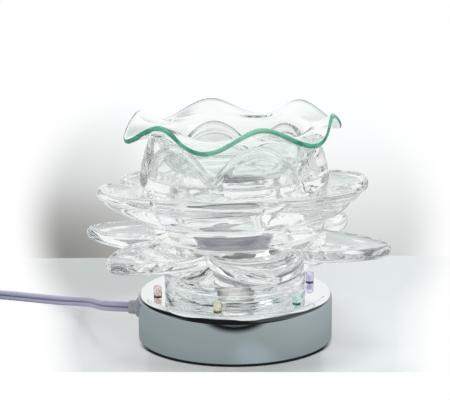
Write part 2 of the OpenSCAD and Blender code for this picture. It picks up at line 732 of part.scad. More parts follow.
module touch_module() {
    color([0.14, 0.14, 0.15]) at(module_azimuth, module_r, cover_top_z)
        linear_extrude(module_h) rounded(module_w, module_l, module_corner);
}

module terminal_block() {
    color([0.9, 0.9, 0.87]) at(block_azimuth, block_r, cover_top_z) difference() {
        linear_extrude(block_h) rounded(block_w, block_l, module_corner / 2);
        for (sy = [-1, 1]) translate([0, sy * block_l / 4, block_h - block_hole_depth])
            cylinder(d = block_hole_d, h = block_hole_depth + cut, $fn = 32);
    }
}

// Round lead along a cubic curve from a to d, leaving towards b and arriving from c
function bezier(a, b, c, d, t) =
    pow(1 - t, 3) * a + 3 * t * pow(1 - t, 2) * b + 3 * t * t * (1 - t) * c + pow(t, 3) * d;
module lead(a, b, c, d, side) {
    line = [for (i = [0:lead_steps]) bezier(a, b, c, d, i / lead_steps)];
    skin([for (i = [0:lead_steps])
        let (f = i == 0 ? unit(b - a) : i == lead_steps ? unit(d - c) : unit(line[i + 1] - line[i - 1]),
            u = unit(cross(side, f)), v = cross(f, u))
        [for (j = [0:lead_sides - 1]) let (w = j * 360 / lead_sides)
            line[i] + lead_d / 2 * (u * cos(w) + v * sin(w))]]);
}

cord_in = unit(cord_route[0] - cord_route[1]);
block_along = [cos(block_azimuth), sin(block_azimuth), 0];
module_along = [cos(module_azimuth), sin(module_azimuth), 0];
module_inward = [-sin(module_azimuth), cos(module_azimuth), 0];

// How far a lead runs straight on from an end, by the distance between its two ends
lead_bend_share = 0.32;
function bend(a, d) = lead_bend_share * norm(d - a);

// End of the terminal block on the side given, for the upper or the lower lead
function block_end(s, side) =
    place(block_azimuth, block_r, cover_top_z + block_h / 2 + s * lead_pair / 2)
    + side * block_along * (block_l / 2);

// From the cord's inner end to the terminal block
module supply_leads() {
    color([0.75, 0.7, 0.78]) for (s = [-1, 1]) {
        a = cord_route[0] + [0, 0, s * cord_w / 4];
        d = block_end(s, -1);
        lead(a, a + cord_in * bend(a, d), d - block_along * bend(a, d), d, [0, 0, 1]);
    }
}

// From the terminal block to the module
module module_leads() {
    color([0.2, 0.3, 0.7]) for (s = [-1, 1]) {
        a = block_end(s, 1);
        d = place(module_azimuth, module_r, cover_top_z + module_h / 2 + s * lead_pair / 2)
            - module_along * (module_l / 2);
        lead(a, a + block_along * bend(a, d), d - module_along * bend(a, d), d, [0, 0, 1]);
    }
}

// From the module up to the holder's contacts
module lamp_leads() {
    color([0.92, 0.92, 0.9]) for (s = [-1, 1]) {
        a = place(module_azimuth, module_r - module_w / 2, cover_top_z + module_h / 2)
            + s * lead_pair * module_along;
        d = [-s * pin_pitch / 2, 0, holder_top_z - contact_drop - contact_l];
        lead(a, a + module_inward * bend(a, d), d - [0, 0, bend(a, d)], d,
            unit(cross(module_inward, [0, 0, 1])));
    }
}

// From the module's top up to the ring-shaped board
module led_leads() {
    color([0.8, 0.15, 0.12]) for (s = [-1, 1]) {
        a = place(module_azimuth, module_r + module_w / 4, cover_top_z + module_h)
            + s * lead_pair * module_along;
        d = place(module_azimuth, board_in_r + lead_pair / 2, board_z) + s * lead_pair * module_along;
        lead(a, a + [0, 0, (d[2] - a[2]) / 2], d - [0, 0, (d[2] - a[2]) / 2], d, module_along);
    }
}

// From the module to a ring tongue under one of the bracket's wings
module touch_lead() {
    tongue_z = shell_under_z - bracket_t - tongue_t;
    color([0.25, 0.55, 0.3]) {
        a = place(module_azimuth, module_r - module_w / 2, cover_top_z + module_h - lead_pair)
            - 2 * lead_pair * module_along;
        d = [bracket_screw_x, tongue_r - 2 * slip, tongue_z + tongue_t - lead_d / 2 - slip];
        lead(a, a + module_inward * bend(a, d), d + [0, bend(a, d), 0], d, [0, 0, 1]);
    }
    color([0.78, 0.79, 0.8]) translate([bracket_screw_x, 0, tongue_z]) difference() {
        cylinder(r = tongue_r, h = tongue_t, $fn = 48);
        translate([0, 0, -cut]) cylinder(d = screw_pass_d, h = tongue_t + 2 * cut, $fn = 32);
    }
}

module lamp_base() {
    color([0.94, 0.93, 0.9]) difference() {
        translate([0, 0, lamp_z]) linear_extrude(lamp_base_h)
            rounded(lamp_base_w, lamp_base_t, lamp_base_corner);
        for (sx = [-1, 1]) translate([sx * pin_pitch / 2, 0, lamp_z - cut])
            cylinder(d = pin_d + slip, h = pin_root + cut, $fn = 32);
    }
}

module lamp_pins() {
    color([0.8, 0.8, 0.78]) for (sx = [-1, 1]) translate([sx * pin_pitch / 2, 0, lamp_z - pin_l])
        cylinder(d = pin_d, h = pin_l + pin_root, $fn = 32);
}

// Pressed glass reflector: a deep bowl on a short neck, with a straight rim
module lamp_reflector() {
    neck_r = reflector_neck_d / 2;
    bowl_h = reflector_h - lamp_rim_h;
    bowl = function(h, out_r, low_r) mix(low_r, out_r, sqrt(h));
    outer = [for (h = lamp_rim_shares) [bowl(h, lamp_d / 2, neck_r), h * bowl_h]];
    inner = [for (h = lamp_rim_shares)
        [bowl(h, lamp_d / 2 - reflector_t, neck_r - reflector_t),
            reflector_floor + h * (bowl_h - reflector_floor)]];
    color([0.82, 0.84, 0.86]) translate([0, 0, reflector_z]) rotate_extrude($fn = 120) polygon(concat(
        [[0, 0]], outer, [[lamp_d / 2, reflector_h], [lamp_d / 2 - reflector_t, reflector_h]],
        [for (k = [len(inner) - 1:-1:0]) inner[k]], [[0, reflector_floor]]));
}

module lamp_front_glass() {
    color([0.88, 0.93, 0.95, 0.4]) translate([0, 0, lamp_top_z - front_glass_t])
        cylinder(r = lamp_d / 2 - reflector_t - slip, h = front_glass_t, $fn = 120);
}

module lamp_capsule() {
    color([0.9, 0.92, 0.92, 0.5]) translate([0, 0, reflector_z + reflector_floor]) {
        cylinder(d = capsule_d, h = capsule_l - capsule_d / 2, $fn = 48);
        translate([0, 0, capsule_l - capsule_d / 2]) sphere(d = capsule_d, $fn = 48);
    }
}

// Flat slot with round ends, the shape of the cord and a gap round it
module cord_slot(length, gap) {
    linear_extrude(length) {
        square([cord_w - cord_t, cord_t + 2 * gap], center = true);
        for (s = [-1, 1]) translate([s * (cord_w - cord_t) / 2, 0]) circle(d = cord_t + 2 * gap, $fn = 48);
    }
}

// Tapered strain relief: a tail inside the drum, a neck through its wall, a flange and a nose
module cord_gland() {
    nose_l = gland_flange_t + gland_nose_l;
    color([0.9, 0.89, 0.93]) at(gland_azimuth, base_r, gland_z) rotate([0, 90, 0]) difference() {
        rotate_extrude($fn = 64) polygon([[0, -shell_t - gland_tail_l],
            [gland_tail_d / 2, -shell_t - gland_tail_l],
            [gland_neck_d / 2, -shell_t], [gland_neck_d / 2, 0], [gland_d / 2, 0],
            [gland_d / 2, gland_flange_t * 0.7], [gland_d / 2 - gland_flange_t * 0.3, gland_flange_t],
            [gland_nose_d / 2, gland_flange_t], [gland_tip_d / 2, nose_l], [0, nose_l]]);
        translate([0, 0, -shell_t - gland_tail_l - cut])
            cord_slot(nose_l + shell_t + gland_tail_l + 2 * cut, cord_slot_gap);
    }
}

// One ring of the cord's section, wide side upright, at point p on a way d
function cord_ring(p, d, shares) =
    let (f = unit(d), side = unit(cross(f, [0, 0, 1])), up = cross(side, f))
    [for (q = shares) p + side * (q[0] * cord_t / 2) + up * (q[1] * cord_w / 2)];

module power_cord() {
    last = len(cord_route) - 1;
    way = function(i) i == last ? [-1, 0, 0] : cord_route[i + 1] - cord_route[max(0, i - 1)];
    color([0.85, 0.84, 0.92]) skin([for (i = [0:last]) cord_ring(cord_route[i], way(i), twin_shares)]);
}

// Coil: it spirals in on the lower layer, climbs where the spiral reverses, and spirals out on the upper
function coil_point(t) =
    let (r = coil_in_r + coil_pitch * abs(t - coil_turns / 2), a = coil_azimuth + 360 * t)
    coil_centre + [r * cos(a), r * sin(a), coil_rise * ease((t - coil_turns / 2) * 2 + 0.5)];
coil_steps = coil_turns * coil_rings;
function coil_way(t) = let (e = 1 / coil_rings / 4) coil_point(t + e) - coil_point(t - e);
coil_skin = concat(
    [cord_ring(cord_route[len(cord_route) - 1], [-1, 0, 0], coil_shares),
        cord_ring(coil_start, [-1, 0, 0], coil_shares)],
    [for (i = [1:coil_steps - 1]) let (t = i / coil_rings)
        cord_ring(coil_point(t), coil_way(t), coil_shares)],
    [cord_ring(coil_end, [0, -1, 0], coil_shares),
        cord_ring(coil_end - [0, cord_w, 0], [0, -1, 0], coil_shares)]);
coil_gap = min([for (i = [1:coil_steps + 1], k = [1:coil_turns], e = [-1:1])
    let (j = i + k * coil_rings + e) if (j <= coil_steps + 1)
    min([for (p = coil_skin[i], q = coil_skin[j]) norm(p - q)])]);
echo(str("Least gap of the coil to itself, in mm: ", coil_gap));
function way_length(points) = len(points) < 2 ? 0
    : [for (i = [0:len(points) - 2]) norm(points[i + 1] - points[i])] * [for (i = [0:len(points) - 2]) 1];
echo(str("Length of the cord, in mm: ", way_length(cord_route) + 2 * cord_w
    + way_length([for (i = [0:coil_steps]) coil_point(i / coil_rings)])));

module cord_coil() {
    color([0.85, 0.84, 0.92]) skin(coil_skin);
}

module cord_tie() {
    in_r = coil_in_r - cord_t / 2 - tie_gap;
    out_r = coil_out_r + cord_t / 2 + tie_gap;
    low_z = coil_centre[2] - cord_w / 2 - seat_gap;
    high_z = coil_centre[2] + coil_rise + cord_w / 2 + seat_gap;
    color([0.12, 0.12, 0.13]) translate([coil_centre[0], coil_centre[1], 0]) rotate([0, 0, tie_azimuth])
        rotate([90, 0, 0]) translate([0, 0, -tie_w / 2]) linear_extrude(tie_w) difference() {
            translate([in_r - tie_t, low_z - tie_t])
                square([out_r - in_r + 2 * tie_t, high_z - low_z + 2 * tie_t]);
            translate([in_r, low_z]) square([out_r - in_r, high_z - low_z]);
        }
}

// Plug: rounded-square sections along its way, from the tail's tip to the face
plug_tip = coil_end - [0, cord_w, 0];
plug_face = plug_tip - [0, plug_tail_l + plug_l, 0];
function plug_ring(y, w, t) = [for (j = [0:plug_sides - 1])
    let (a = j * 360 / plug_sides, cx = cos(a), cz = sin(a))
    [plug_tip[0] - t / 2 * sign(cx) * pow(abs(cx), plug_square), y,
        plug_tip[2] - w / 2 * sign(cz) * pow(abs(cz), plug_square)]];

module plug_body() {
    n = len(plug_tail_shares);
    tail = [for (k = [n - 1:-1:0]) let (q = plug_tail_shares[k])
        plug_ring(plug_face[1] + plug_l + plug_tail_l * q[0], plug_w * q[1], plug_t * q[1])];
    body = [for (k = [len(plug_rings_shares) - 1:-1:0]) let (q = plug_rings_shares[k])
        plug_ring(plug_face[1] + plug_l * q[0], plug_w * q[1], plug_t * q[1])];
    color([0.87, 0.86, 0.93]) skin(concat(tail, body));
}

module plug_blades() {
    corner = plug_face - [blade_w / 2, blade_l, blade_t / 2];
    color([0.8, 0.68, 0.36]) for (s = [-1, 1]) translate(corner + [0, 0, s * blade_pitch / 2]) difference() {
        cube([blade_w, blade_l, blade_t]);
        translate([blade_w / 2, blade_l - blade_hole_in, -cut])
            cylinder(d = blade_hole_d, h = blade_t + 2 * cut, $fn = 32);
    }
}

module led_red() { led(0, [0.9, 0.3, 0.25, 0.7]); }
module led_yellow() { led(1, [0.9, 0.85, 0.4, 0.7]); }
module led_green() { led(2, [0.3, 0.85, 0.65, 0.7]); }
module led_violet() { led(3, [0.55, 0.45, 0.9, 0.7]); }
module led_blue() { led(4, [0.3, 0.5, 0.95, 0.7]); }
module led_white() { led(5, [0.9, 0.92, 0.95, 0.7]); }

base_shell();
base_cover();
cover_posts();
cover_screws();
rubber_feet();
lamp_bracket();
bracket_screws();
bracket_nuts();
lamp_holder();
holder_contacts();
holder_screws();
led_board();
led_red();
led_yellow();
led_green();
led_violet();
led_blue();
led_white();
led_legs();
touch_module();
terminal_block();
supply_leads();
module_leads();
lamp_leads();
led_leads();
touch_lead();
lamp_base();
lamp_pins();
lamp_reflector();
lamp_front_glass();
lamp_capsule();
glass_foot_ring();
lower_petals();
middle_petals();
upper_petals();
oil_dish();
cord_gland();
power_cord();
cord_coil();
cord_tie();
plug_body();
plug_blades();
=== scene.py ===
# Looks of the touch lamp oil burner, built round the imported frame.
# Shapes are in millimetres, and new_object turns them into metres. Shading and room are in metres.
import math

import bmesh
import bpy
from mathutils import Matrix, Vector


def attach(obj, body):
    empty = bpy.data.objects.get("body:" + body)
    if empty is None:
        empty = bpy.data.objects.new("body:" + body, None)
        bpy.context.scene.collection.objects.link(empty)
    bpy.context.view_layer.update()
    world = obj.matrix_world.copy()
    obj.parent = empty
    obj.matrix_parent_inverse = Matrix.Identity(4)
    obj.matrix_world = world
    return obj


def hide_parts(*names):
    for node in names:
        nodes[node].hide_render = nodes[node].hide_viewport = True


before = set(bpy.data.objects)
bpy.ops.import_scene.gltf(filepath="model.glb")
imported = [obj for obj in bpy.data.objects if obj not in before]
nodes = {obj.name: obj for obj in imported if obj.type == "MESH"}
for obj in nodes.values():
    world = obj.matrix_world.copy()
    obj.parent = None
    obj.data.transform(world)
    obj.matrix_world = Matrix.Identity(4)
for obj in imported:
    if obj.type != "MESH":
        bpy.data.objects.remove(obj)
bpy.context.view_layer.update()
scene = bpy.context.scene
MM = 0.001

# Camera, fitted to the photograph
PICTURE_WIDTH = 450
SENSOR_WIDTH = 36
FOCAL_PX = 1430.35
STAND_BACK = 855.4
EYE_UP = 270.35
TURN = -0.381
TILT = 12.125
ROLL = 0.5
BOUNCES = 24


def sin_cos(degrees):
    return math.sin(math.radians(degrees)), math.cos(math.radians(degrees))


turn_sin, turn_cos = sin_cos(TURN)
tilt_sin, tilt_cos = sin_cos(TILT)
roll_sin, roll_cos = sin_cos(ROLL)
VIEW = Vector((turn_sin * tilt_cos, turn_cos * tilt_cos, -tilt_sin))
flat_right = Vector((turn_cos, -turn_sin, 0))
flat_up = flat_right.cross(VIEW)
RIGHT = roll_cos * flat_right - roll_sin * flat_up
UP = roll_sin * flat_right + roll_cos * flat_up

cam_data = bpy.data.cameras.new("camera")
cam_data.sensor_fit = "HORIZONTAL"
cam_data.sensor_width = SENSOR_WIDTH
cam_data.lens = FOCAL_PX / PICTURE_WIDTH * SENSOR_WIDTH
cam_data.clip_start = 0.05
cam_data.clip_end = 20
camera = bpy.data.objects.new("camera", cam_data)
scene.collection.objects.link(camera)
eye = Matrix.Translation((0, -STAND_BACK * MM, EYE_UP * MM))
camera.matrix_world = eye @ Matrix((RIGHT, UP, -VIEW)).transposed().to_4x4()
scene.camera = camera
scene.view_settings.view_transform = "Standard"
scene.cycles.max_bounces = BOUNCES
scene.cycles.transmission_bounces = BOUNCES
scene.cycles.glossy_bounces = BOUNCES


# Shapes
def mix(a, b, share):
    return a + (b - a) * share


def clamp01(value):
    return min(1.0, max(0.0, value))


def place(azimuth, radius, z):
    """Point at an azimuth in degrees, where 0 is the front and 90 the right."""
    turn_sin, turn_cos = sin_cos(azimuth)
    return (radius * turn_sin, -radius * turn_cos, z)


def arc(x, z, radius, start, end, steps):
    turns = [sin_cos(mix(start, end, k / steps)) for k in range(steps + 1)]
    return [(x + radius * turn_cos, z + radius * turn_sin) for turn_sin, turn_cos in turns]


def between(a, b, start, end, knot):
    """Point for a knot on the line that has a at the start knot and b at the end knot."""
    share_a = (end - knot) / (end - start)
    share_b = (knot - start) / (end - start)
    return [share_a * p + share_b * q for p, q in zip(a, b)]


def spline(points, steps):
    """Centripetal Catmull-Rom through the points, with so many steps in each span."""
    last = len(points) - 1
    out = []
    for i in range(last):
        near = [points[min(max(i + k, 0), last)] for k in (-1, 0, 1, 2)]
        if i == 0:
            near[0] = [2 * a - b for a, b in zip(near[1], near[2])]
        if i == last - 1:
            near[3] = [2 * b - a for a, b in zip(near[1], near[2])]
        knots = [0.0]
        for a, b in zip(near, near[1:]):
            knots.append(knots[-1] + max(1e-6, math.dist(a, b)) ** 0.5)
        for step in range(steps):
            knot = knots[1] + (knots[2] - knots[1]) * step / steps
            lines = [between(near[k], near[k + 1], knots[k], knots[k + 1], knot) for k in range(3)]
            curves = [between(lines[k], lines[k + 1], knots[k], knots[k + 2], knot) for k in range(2)]
            out.append(between(curves[0], curves[1], knots[1], knots[2], knot))
    out.append(list(points[-1]))
    return out


def sharpen(mesh, degrees):
    """Makes the edges sharp whose faces meet at more than the angle."""
    limit = math.radians(degrees)
    work = bmesh.new()
    work.from_mesh(mesh)
    for edge in work.edges:
        edge.smooth = not (edge.is_manifold and edge.calc_face_angle(0) > limit)
    work.to_mesh(mesh)
    work.free()


def new_object(name, verts, faces, body=None, smooth_angle=None):
    mesh = bpy.data.meshes.new(name)
    mesh.from_pydata([Vector(v) * MM for v in verts], [], faces)
    mesh.validate()
    obj = bpy.data.objects.new(name, mesh)
    scene.collection.objects.link(obj)
    mesh.polygons.foreach_set("use_smooth", [True] * len(mesh.polygons))
    if smooth_angle is not None:
        sharpen(mesh, smooth_angle)
    if body:
        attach(obj, body)
    return obj


def round_faces(rows, columns, closed):
    """Faces between rows that go all the way round. The columns do so too where closed is true."""
    faces = []
    for i in range(rows):
        here, there = i * columns, (i + 1) % rows * columns
        for j in range(columns if closed else columns - 1):
            after = (j + 1) % columns
            faces.append((here + j, there + j, there + after, here + after))
    return faces


def ring_loop(name, sections, body, smooth_angle):
    """Ring-shaped skin. Its sections are lists of (radius, z) at even steps of the full turn."""
    count = len(sections)
    verts = [place(i * 360 / count, r, z) for i, section in enumerate(sections) for r, z in section]
    return new_object(name, verts, round_faces(count, len(sections[0]), True), body, smooth_angle)


# Materials
# Numbers of a Mix node's colour sockets: the two inputs and the result
MIX_A, MIX_B, MIX_COLOUR = 6, 7, 2
WHITE = (1.0, 1.0, 1.0)
GLASS_IOR = 1.5


class Shading:
    """Node tree of one material or world, with a short call for each kind of sum."""

    def __init__(self, tree):
        self.nodes = tree.nodes
        self.links = tree.links

    def new(self, kind):
        return self.nodes.new("ShaderNode" + kind)

    def feed(self, socket, value):
        """Links an output to the socket, or writes a number, a vector or a colour into it."""
        if isinstance(value, bpy.types.NodeSocket):
            self.links.new(value, socket)
        elif isinstance(value, tuple):
            socket.default_value = (*value, 1)[:len(socket.default_value)]
        else:
            socket.default_value = value

    def fill(self, node, values):
        for label, value in values.items():
            self.feed(node.inputs[label], value)

    def sum(self, kind, *values, clamp=False):
        node = self.new("Math")
        node.operation = kind
        node.use_clamp = clamp
        for socket, value in zip(node.inputs, values):
            self.feed(socket, value)
        return node.outputs[0]

    def add(self, a, b):
        return self.sum("ADD", a, b)

    def subtract(self, a, b):
        return self.sum("SUBTRACT", a, b)

    def times(self, a, b):
        return self.sum("MULTIPLY", a, b)

    def over(self, a, b):
        return self.sum("DIVIDE", a, b)

    def times_add(self, a, b, c):
        return self.sum("MULTIPLY_ADD", a, b, c)

    def larger(self, a, b):
        return self.sum("MAXIMUM", a, b)

    def size(self, a):
        return self.sum("ABSOLUTE", a)

    def distance(self, a, b):
        return self.sum("SQRT", self.add(self.times(a, a), self.times(b, b)))

    def rise(self, value, low, high):
        """0 below low, 1 above high, with a smooth step between them."""
        node = self.new("MapRange")
        node.interpolation_type = "SMOOTHSTEP"
        self.fill(node, {"Value": value, "From Min": low, "From Max": high})
        return node.outputs["Result"]

    def fall(self, value, low, high):
        """1 below low, 0 above high, with a smooth step between them."""
        return self.subtract(1.0, self.rise(value, low, high))

    def vector(self, kind, *values):
        node = self.new("VectorMath")
        node.operation = kind
        for socket, value in zip(node.inputs, values):
            self.feed(socket, value)
        return node.outputs

    def dot(self, a, b):
        return self.vector("DOT_PRODUCT", a, b)["Value"]

    def parts(self, vector):
        node = self.new("SeparateXYZ")
        self.feed(node.inputs[0], vector)
        return node.outputs

    def blend(self, share, a, b):
        """Colour a where the share is 0 and b where it is 1."""
        node = self.new("Mix")
        node.data_type = "RGBA"
        self.fill(node, {"Factor": share, MIX_A: a, MIX_B: b})
        return node.outputs[MIX_COLOUR]

    def ramp(self, source, low, high, at=(0.35, 0.65)):
        node = self.new("ValToRGB")
        for element, colour, position in zip(node.color_ramp.elements, (low, high), at):
            element.position = position
            element.color = (*colour, 1)
        self.feed(node.inputs["Fac"], source)
        return node.outputs["Color"]

    def uneven(self, shader, scale, strength, depth, detail=2.0, stretch=(1, 1, 1)):
        """Bumps the shader's surface with noise, and returns the noise."""
        mapping = self.new("Mapping")
        self.fill(mapping, {"Vector": self.new("TexCoord").outputs["Object"], "Scale": stretch})
        noise = self.new("TexNoise")
        self.fill(noise, {"Vector": mapping.outputs["Vector"], "Scale": scale, "Detail": detail})
        bump = self.new("Bump")
        self.fill(bump, {"Height": noise.outputs["Fac"], "Strength": strength, "Distance": depth})
        self.feed(shader.inputs["Normal"], bump.outputs["Normal"])
        return noise.outputs["Fac"]

    def join(self, share, first, second):
        node = self.new("MixShader")
        for socket, value in zip(node.inputs, (share, first.outputs[0], second.outputs[0])):
            self.feed(socket, value)
        return node

    def show(self, shader):
        self.feed(self.nodes["Material Output"].inputs["Surface"], shader.outputs[0])


def material(name, values):
    made = bpy.data.materials.new(name)
    made.use_nodes = True
    net = Shading(made.node_tree)
    shader = net.nodes["Principled BSDF"]
    net.fill(shader, values)
    return made, net, shader


def plain(name, low, high, roughness, metallic=0.0, scale=500, strength=0.1, depth=0.0001, coat=0.0,
          stretch=(1, 1, 1), detail=3.0, transmission=0.0):
    """Material that varies between two tones by the same noise that bumps it."""
    made, net, shader = material(name, {"Roughness": roughness, "Metallic": metallic, "Coat Weight": coat,
                                        "Transmission Weight": transmission})
    noise = net.uneven(shader, scale, strength, depth, detail, stretch)
    net.feed(shader.inputs["Base Color"], net.ramp(noise, low, high))
    return made


def glass(name, colour, scale, strength, depth, detail=1.0, stretch=(1, 1, 1)):
    made, net, shader = material(name, {"Base Color": colour, "Roughness": 0.0, "IOR": GLASS_IOR,
                                        "Transmission Weight": 1.0})
    net.uneven(shader, scale, strength, depth, detail, stretch)
    return made


def rim_material():
    """Green on the rim's outer side, clear on its inner side and where it is met through the glass."""
    made, net, shader = material("rim_glass", {"Roughness": 0.12, "Transmission Weight": 0.3})
    noise = net.uneven(shader, 120, 0.1, 0.0005)
    green = net.ramp(noise, (0.02, 0.3, 0.19), (0.1, 0.58, 0.38))
    # painted highlight: paler in the middle of the front
    off_middle = net.size(net.subtract(net.dot(net.new("TexCoord").outputs["Object"], (1, 0, 0)), 0.006))
    paler = net.times_add(net.fall(off_middle, 0.01, 0.032), 0.55, 0.1)
    net.feed(shader.inputs["Base Color"], net.blend(paler, green, (0.3, 0.62, 0.45)))
    clear = net.new("BsdfGlass")
    net.fill(clear, {"Color": (0.93, 1.0, 0.97), "IOR": GLASS_IOR, "Roughness": 0.0})
    surface = net.new("NewGeometry").outputs
    away = net.vector("NORMALIZE", net.vector("MULTIPLY", surface["Position"], (1, 1, 0))[0])[0]
    inner = net.fall(net.dot(surface["Normal"], away), -0.15, 0.35)
    inner = net.larger(inner, surface["Backfacing"])
    net.show(net.join(inner, shader, clear))
    return made


def cord_material():
    """Clear insulation over the cores, pale, with painted shade that darkens the groove between its halves.
    """
    made, net, shader = material("cord_plastic", {"Roughness": 0.28, "Coat Weight": 0.5,
                                                  "Coat Roughness": 0.1})
    groove = net.new("Attribute")
    groove.attribute_name = "groove"
    # painted shade: darker towards the groove
    sheath_and_groove_shade = net.ramp(groove.outputs["Fac"], (0.62, 0.6, 0.78), (0.16, 0.15, 0.34), (0.2, 0.95))
    net.feed(shader.inputs["Base Color"], sheath_and_groove_shade)
    net.uneven(shader, 300, 0.08, 0.0002)
    return made


def lens_material(name, colour, glow):
    """Faintly tinted clear epoxy that glows a little."""
    made, net, shader = material(name, {"Roughness": 0.03, "IOR": GLASS_IOR, "Transmission Weight": 0.92,
                                        "Emission Strength": glow, "Emission Color": colour})
    noise = net.uneven(shader, 450, 0.15, 0.0003)
    low, high = [[mix(1, tone, tint) for tone in colour] for tint in (0.27, 0.04)]
    net.feed(shader.inputs["Base Color"], net.ramp(noise, low, high))
    return made


def cup_material(name, colour):
    """Pale, softly lit reflector inside a light."""
    pale = tuple(mix(0.96, tone, 0.14) for tone in colour)
    made, net, shader = material(name, {"Base Color": pale, "Emission Color": pale, "Emission Strength": 0.4})
    net.uneven(shader, 900, 0.2, 0.0002)
    return made


# Each row gives the two tones, the roughness, the metallic share and, where they differ from plain's own,
# the noise's scale, the bump's strength and its depth in metres. Named values follow as a dictionary.
PLAIN = {
    "lamp_glass": ((0.8, 0.79, 0.9), (0.96, 0.965, 0.97), 0.12, 0.05, 55, 0.4, 0.001,
                   {"detail": 2.0, "transmission": 0.75}),
    "chrome": ((0.84, 0.862, 0.868), (0.885, 0.902, 0.908), 0.045, 1.0, 9, 0.02, 0.0004, {"detail": 1.0}),
    "zinc": ((0.82, 0.83, 0.84), (0.92, 0.93, 0.94), 0.4, 0.45, 600, {}),
    "steel": ((0.7, 0.71, 0.72), (0.82, 0.83, 0.84), 0.3, 1.0, 600, {"stretch": (1, 8, 1)}),
    "tinned": ((0.6, 0.61, 0.62), (0.72, 0.73, 0.74), 0.25, 1.0, 600, {}),
    "brass": ((0.62, 0.45, 0.16), (0.76, 0.58, 0.26), 0.25, 1.0, {"stretch": (1, 10, 1)}),
    "rubber": ((0.015, 0.015, 0.016), (0.03, 0.03, 0.031), 0.75, 0, 900, 0.4, 0.0002, {}),
    "ceramic": ((0.86, 0.85, 0.82), (0.93, 0.92, 0.9), 0.6, 0, 500, 0.3, 0.0002, {}),
    "cover_plastic": ((0.018, 0.018, 0.02), (0.03, 0.03, 0.032), 0.5, 0, 1500, 0.4, {}),
    "board_green": ((0.01, 0.09, 0.04), (0.02, 0.13, 0.06), 0.35, 0, 700, {"coat": 0.3}),
    "block_plastic": ((0.72, 0.72, 0.68), (0.8, 0.8, 0.76), 0.45, 0, 900, 0.2, {}),
    "tie_plastic": ((0.02, 0.02, 0.022), (0.04, 0.04, 0.042), 0.4, 0, 900, 0.3, 0.0002, {}),
    "gland_plastic": ((0.5, 0.5, 0.55), (0.6, 0.6, 0.64), 0.35, 0, 400, 0.15, 0.0002, {"coat": 0.2}),
    "lead_grey": ((0.5, 0.46, 0.54), (0.58, 0.54, 0.62), 0.4, {}),
    "lead_blue": ((0.03, 0.07, 0.4), (0.05, 0.1, 0.5), 0.4, {}),
    "lead_white": ((0.75, 0.75, 0.73), (0.85, 0.85, 0.83), 0.4, {}),
    "lead_red": ((0.5, 0.02, 0.015), (0.62, 0.03, 0.02), 0.4, {}),
    "lead_green": ((0.05, 0.25, 0.07), (0.08, 0.32, 0.1), 0.4, {}),
}
finish = {name: plain(name, *row[:-1], **row[-1]) for name, row in PLAIN.items()}
finish["clear_glass"] = glass("clear_glass", (0.985, 0.997, 0.99), 42, 0.42, 0.0024)
finish["foot_glass"] = glass("foot_glass", (0.98, 0.995, 0.99), 34, 1.0, 0.0024, 1.2, (1, 1, 7))
finish["dish_glass"] = glass("dish_glass", (0.965, 0.997, 0.982), 25, 0.1, 0.0006)
finish["rim_glass"] = rim_material()
finish["cord_plastic"] = cord_material()


def stand_for(obj, finish_name, slot, *replaced):
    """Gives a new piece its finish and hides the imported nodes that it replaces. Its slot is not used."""
    obj.data.materials.append(finish[finish_name])
    if replaced:
        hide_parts(*replaced)


# Cord, its coil and plug
CORD_W = 6.5
CORD_T = 3.3
GLAND = place(-97.5, 60, 0)
FROM_GLAND = [
    (13.9, -1.8, 16.5), (2.5, -0.3, 16.5), (-7.5, 1, 16.5), (-14.5, 2.4, 16.4), (-20.5, 5.5, 15.9),
    (-25.3, 10.3, 15.1), (-28.8, 16.5, 14), (-31.8, 23.7, 12.6), (-34.8, 31.7, 10.8), (-38.3, 39.7, 8.8),
    (-42.7, 47.5, 6.8), (-48.5, 54.5, 5.1), (-55.9, 60, 3.9), (-65, 64.5, 3.4), (-75.5, 68.6, 3.3),
    (-87.5, 72.9, 3.3), (-99.5, 77, 3.3), (-109.5, 80.2, 3.4), (-119.5, 83, 3.7), (-129.5, 84.7, 4.1),
    (-139, 85.1, 4.4)]
ROUTE = [(x + GLAND[0], y + GLAND[1], z) for x, y, z in FROM_GLAND]
ROUTE_STEPS = 5
COIL_TURNS = 6.25
COIL_STEPS = 48
COIL_IN = 26.4
COIL_PITCH = 4.5
COIL_RISE = 7.1
COIL_OUT = COIL_IN + COIL_PITCH * COIL_TURNS / 2
COIL_START = (ROUTE[-1][0] - CORD_W, ROUTE[-1][1], ROUTE[-1][2])
COIL_CENTRE = (COIL_START[0], COIL_START[1] - COIL_OUT, COIL_START[2])
PLUG_TIP = (COIL_CENTRE[0] - COIL_OUT, COIL_CENTRE[1] - CORD_W, COIL_CENTRE[2] + COIL_RISE)


def coil_point(turns):
    """Spiral inwards on the table, then outwards on top of the first layer."""
    radius = COIL_IN + COIL_PITCH * abs(turns - COIL_TURNS / 2)
    angle = math.radians(90 + 360 * turns)
    climb = clamp01((turns - COIL_TURNS / 2) * 2 + 0.5)
    return (COIL_CENTRE[0] + radius * math.cos(angle), COIL_CENTRE[1] + radius * math.sin(angle),
            COIL_CENTRE[2] + COIL_RISE * climb * climb * (3 - 2 * climb))


route_line = [tuple(point) for point in spline(ROUTE, ROUTE_STEPS)]
coil_line = [coil_point(i / COIL_STEPS) for i in range(int(COIL_TURNS * COIL_STEPS) + 1)]
CORD_LINE = route_line + coil_line + [PLUG_TIP]


def cord_section(count=28):
    """Figure of eight: for each point its place across, its place up and its share of the painted shade in
    the groove.
    """
    ring = []
    for k in range(count):
        angle = 2 * math.pi * k / count
        up = math.cos(angle)
        narrow = 0.42 + 0.58 * min(1.0, abs(up) / 0.45) ** 1.3
        across = math.copysign(abs(math.sin(angle)) ** 0.8, math.sin(angle))
        ring.append((across * CORD_T / 2 * narrow, up * CORD_W / 2, 1 - min(1.0, abs(up) / 0.3)))
    return ring


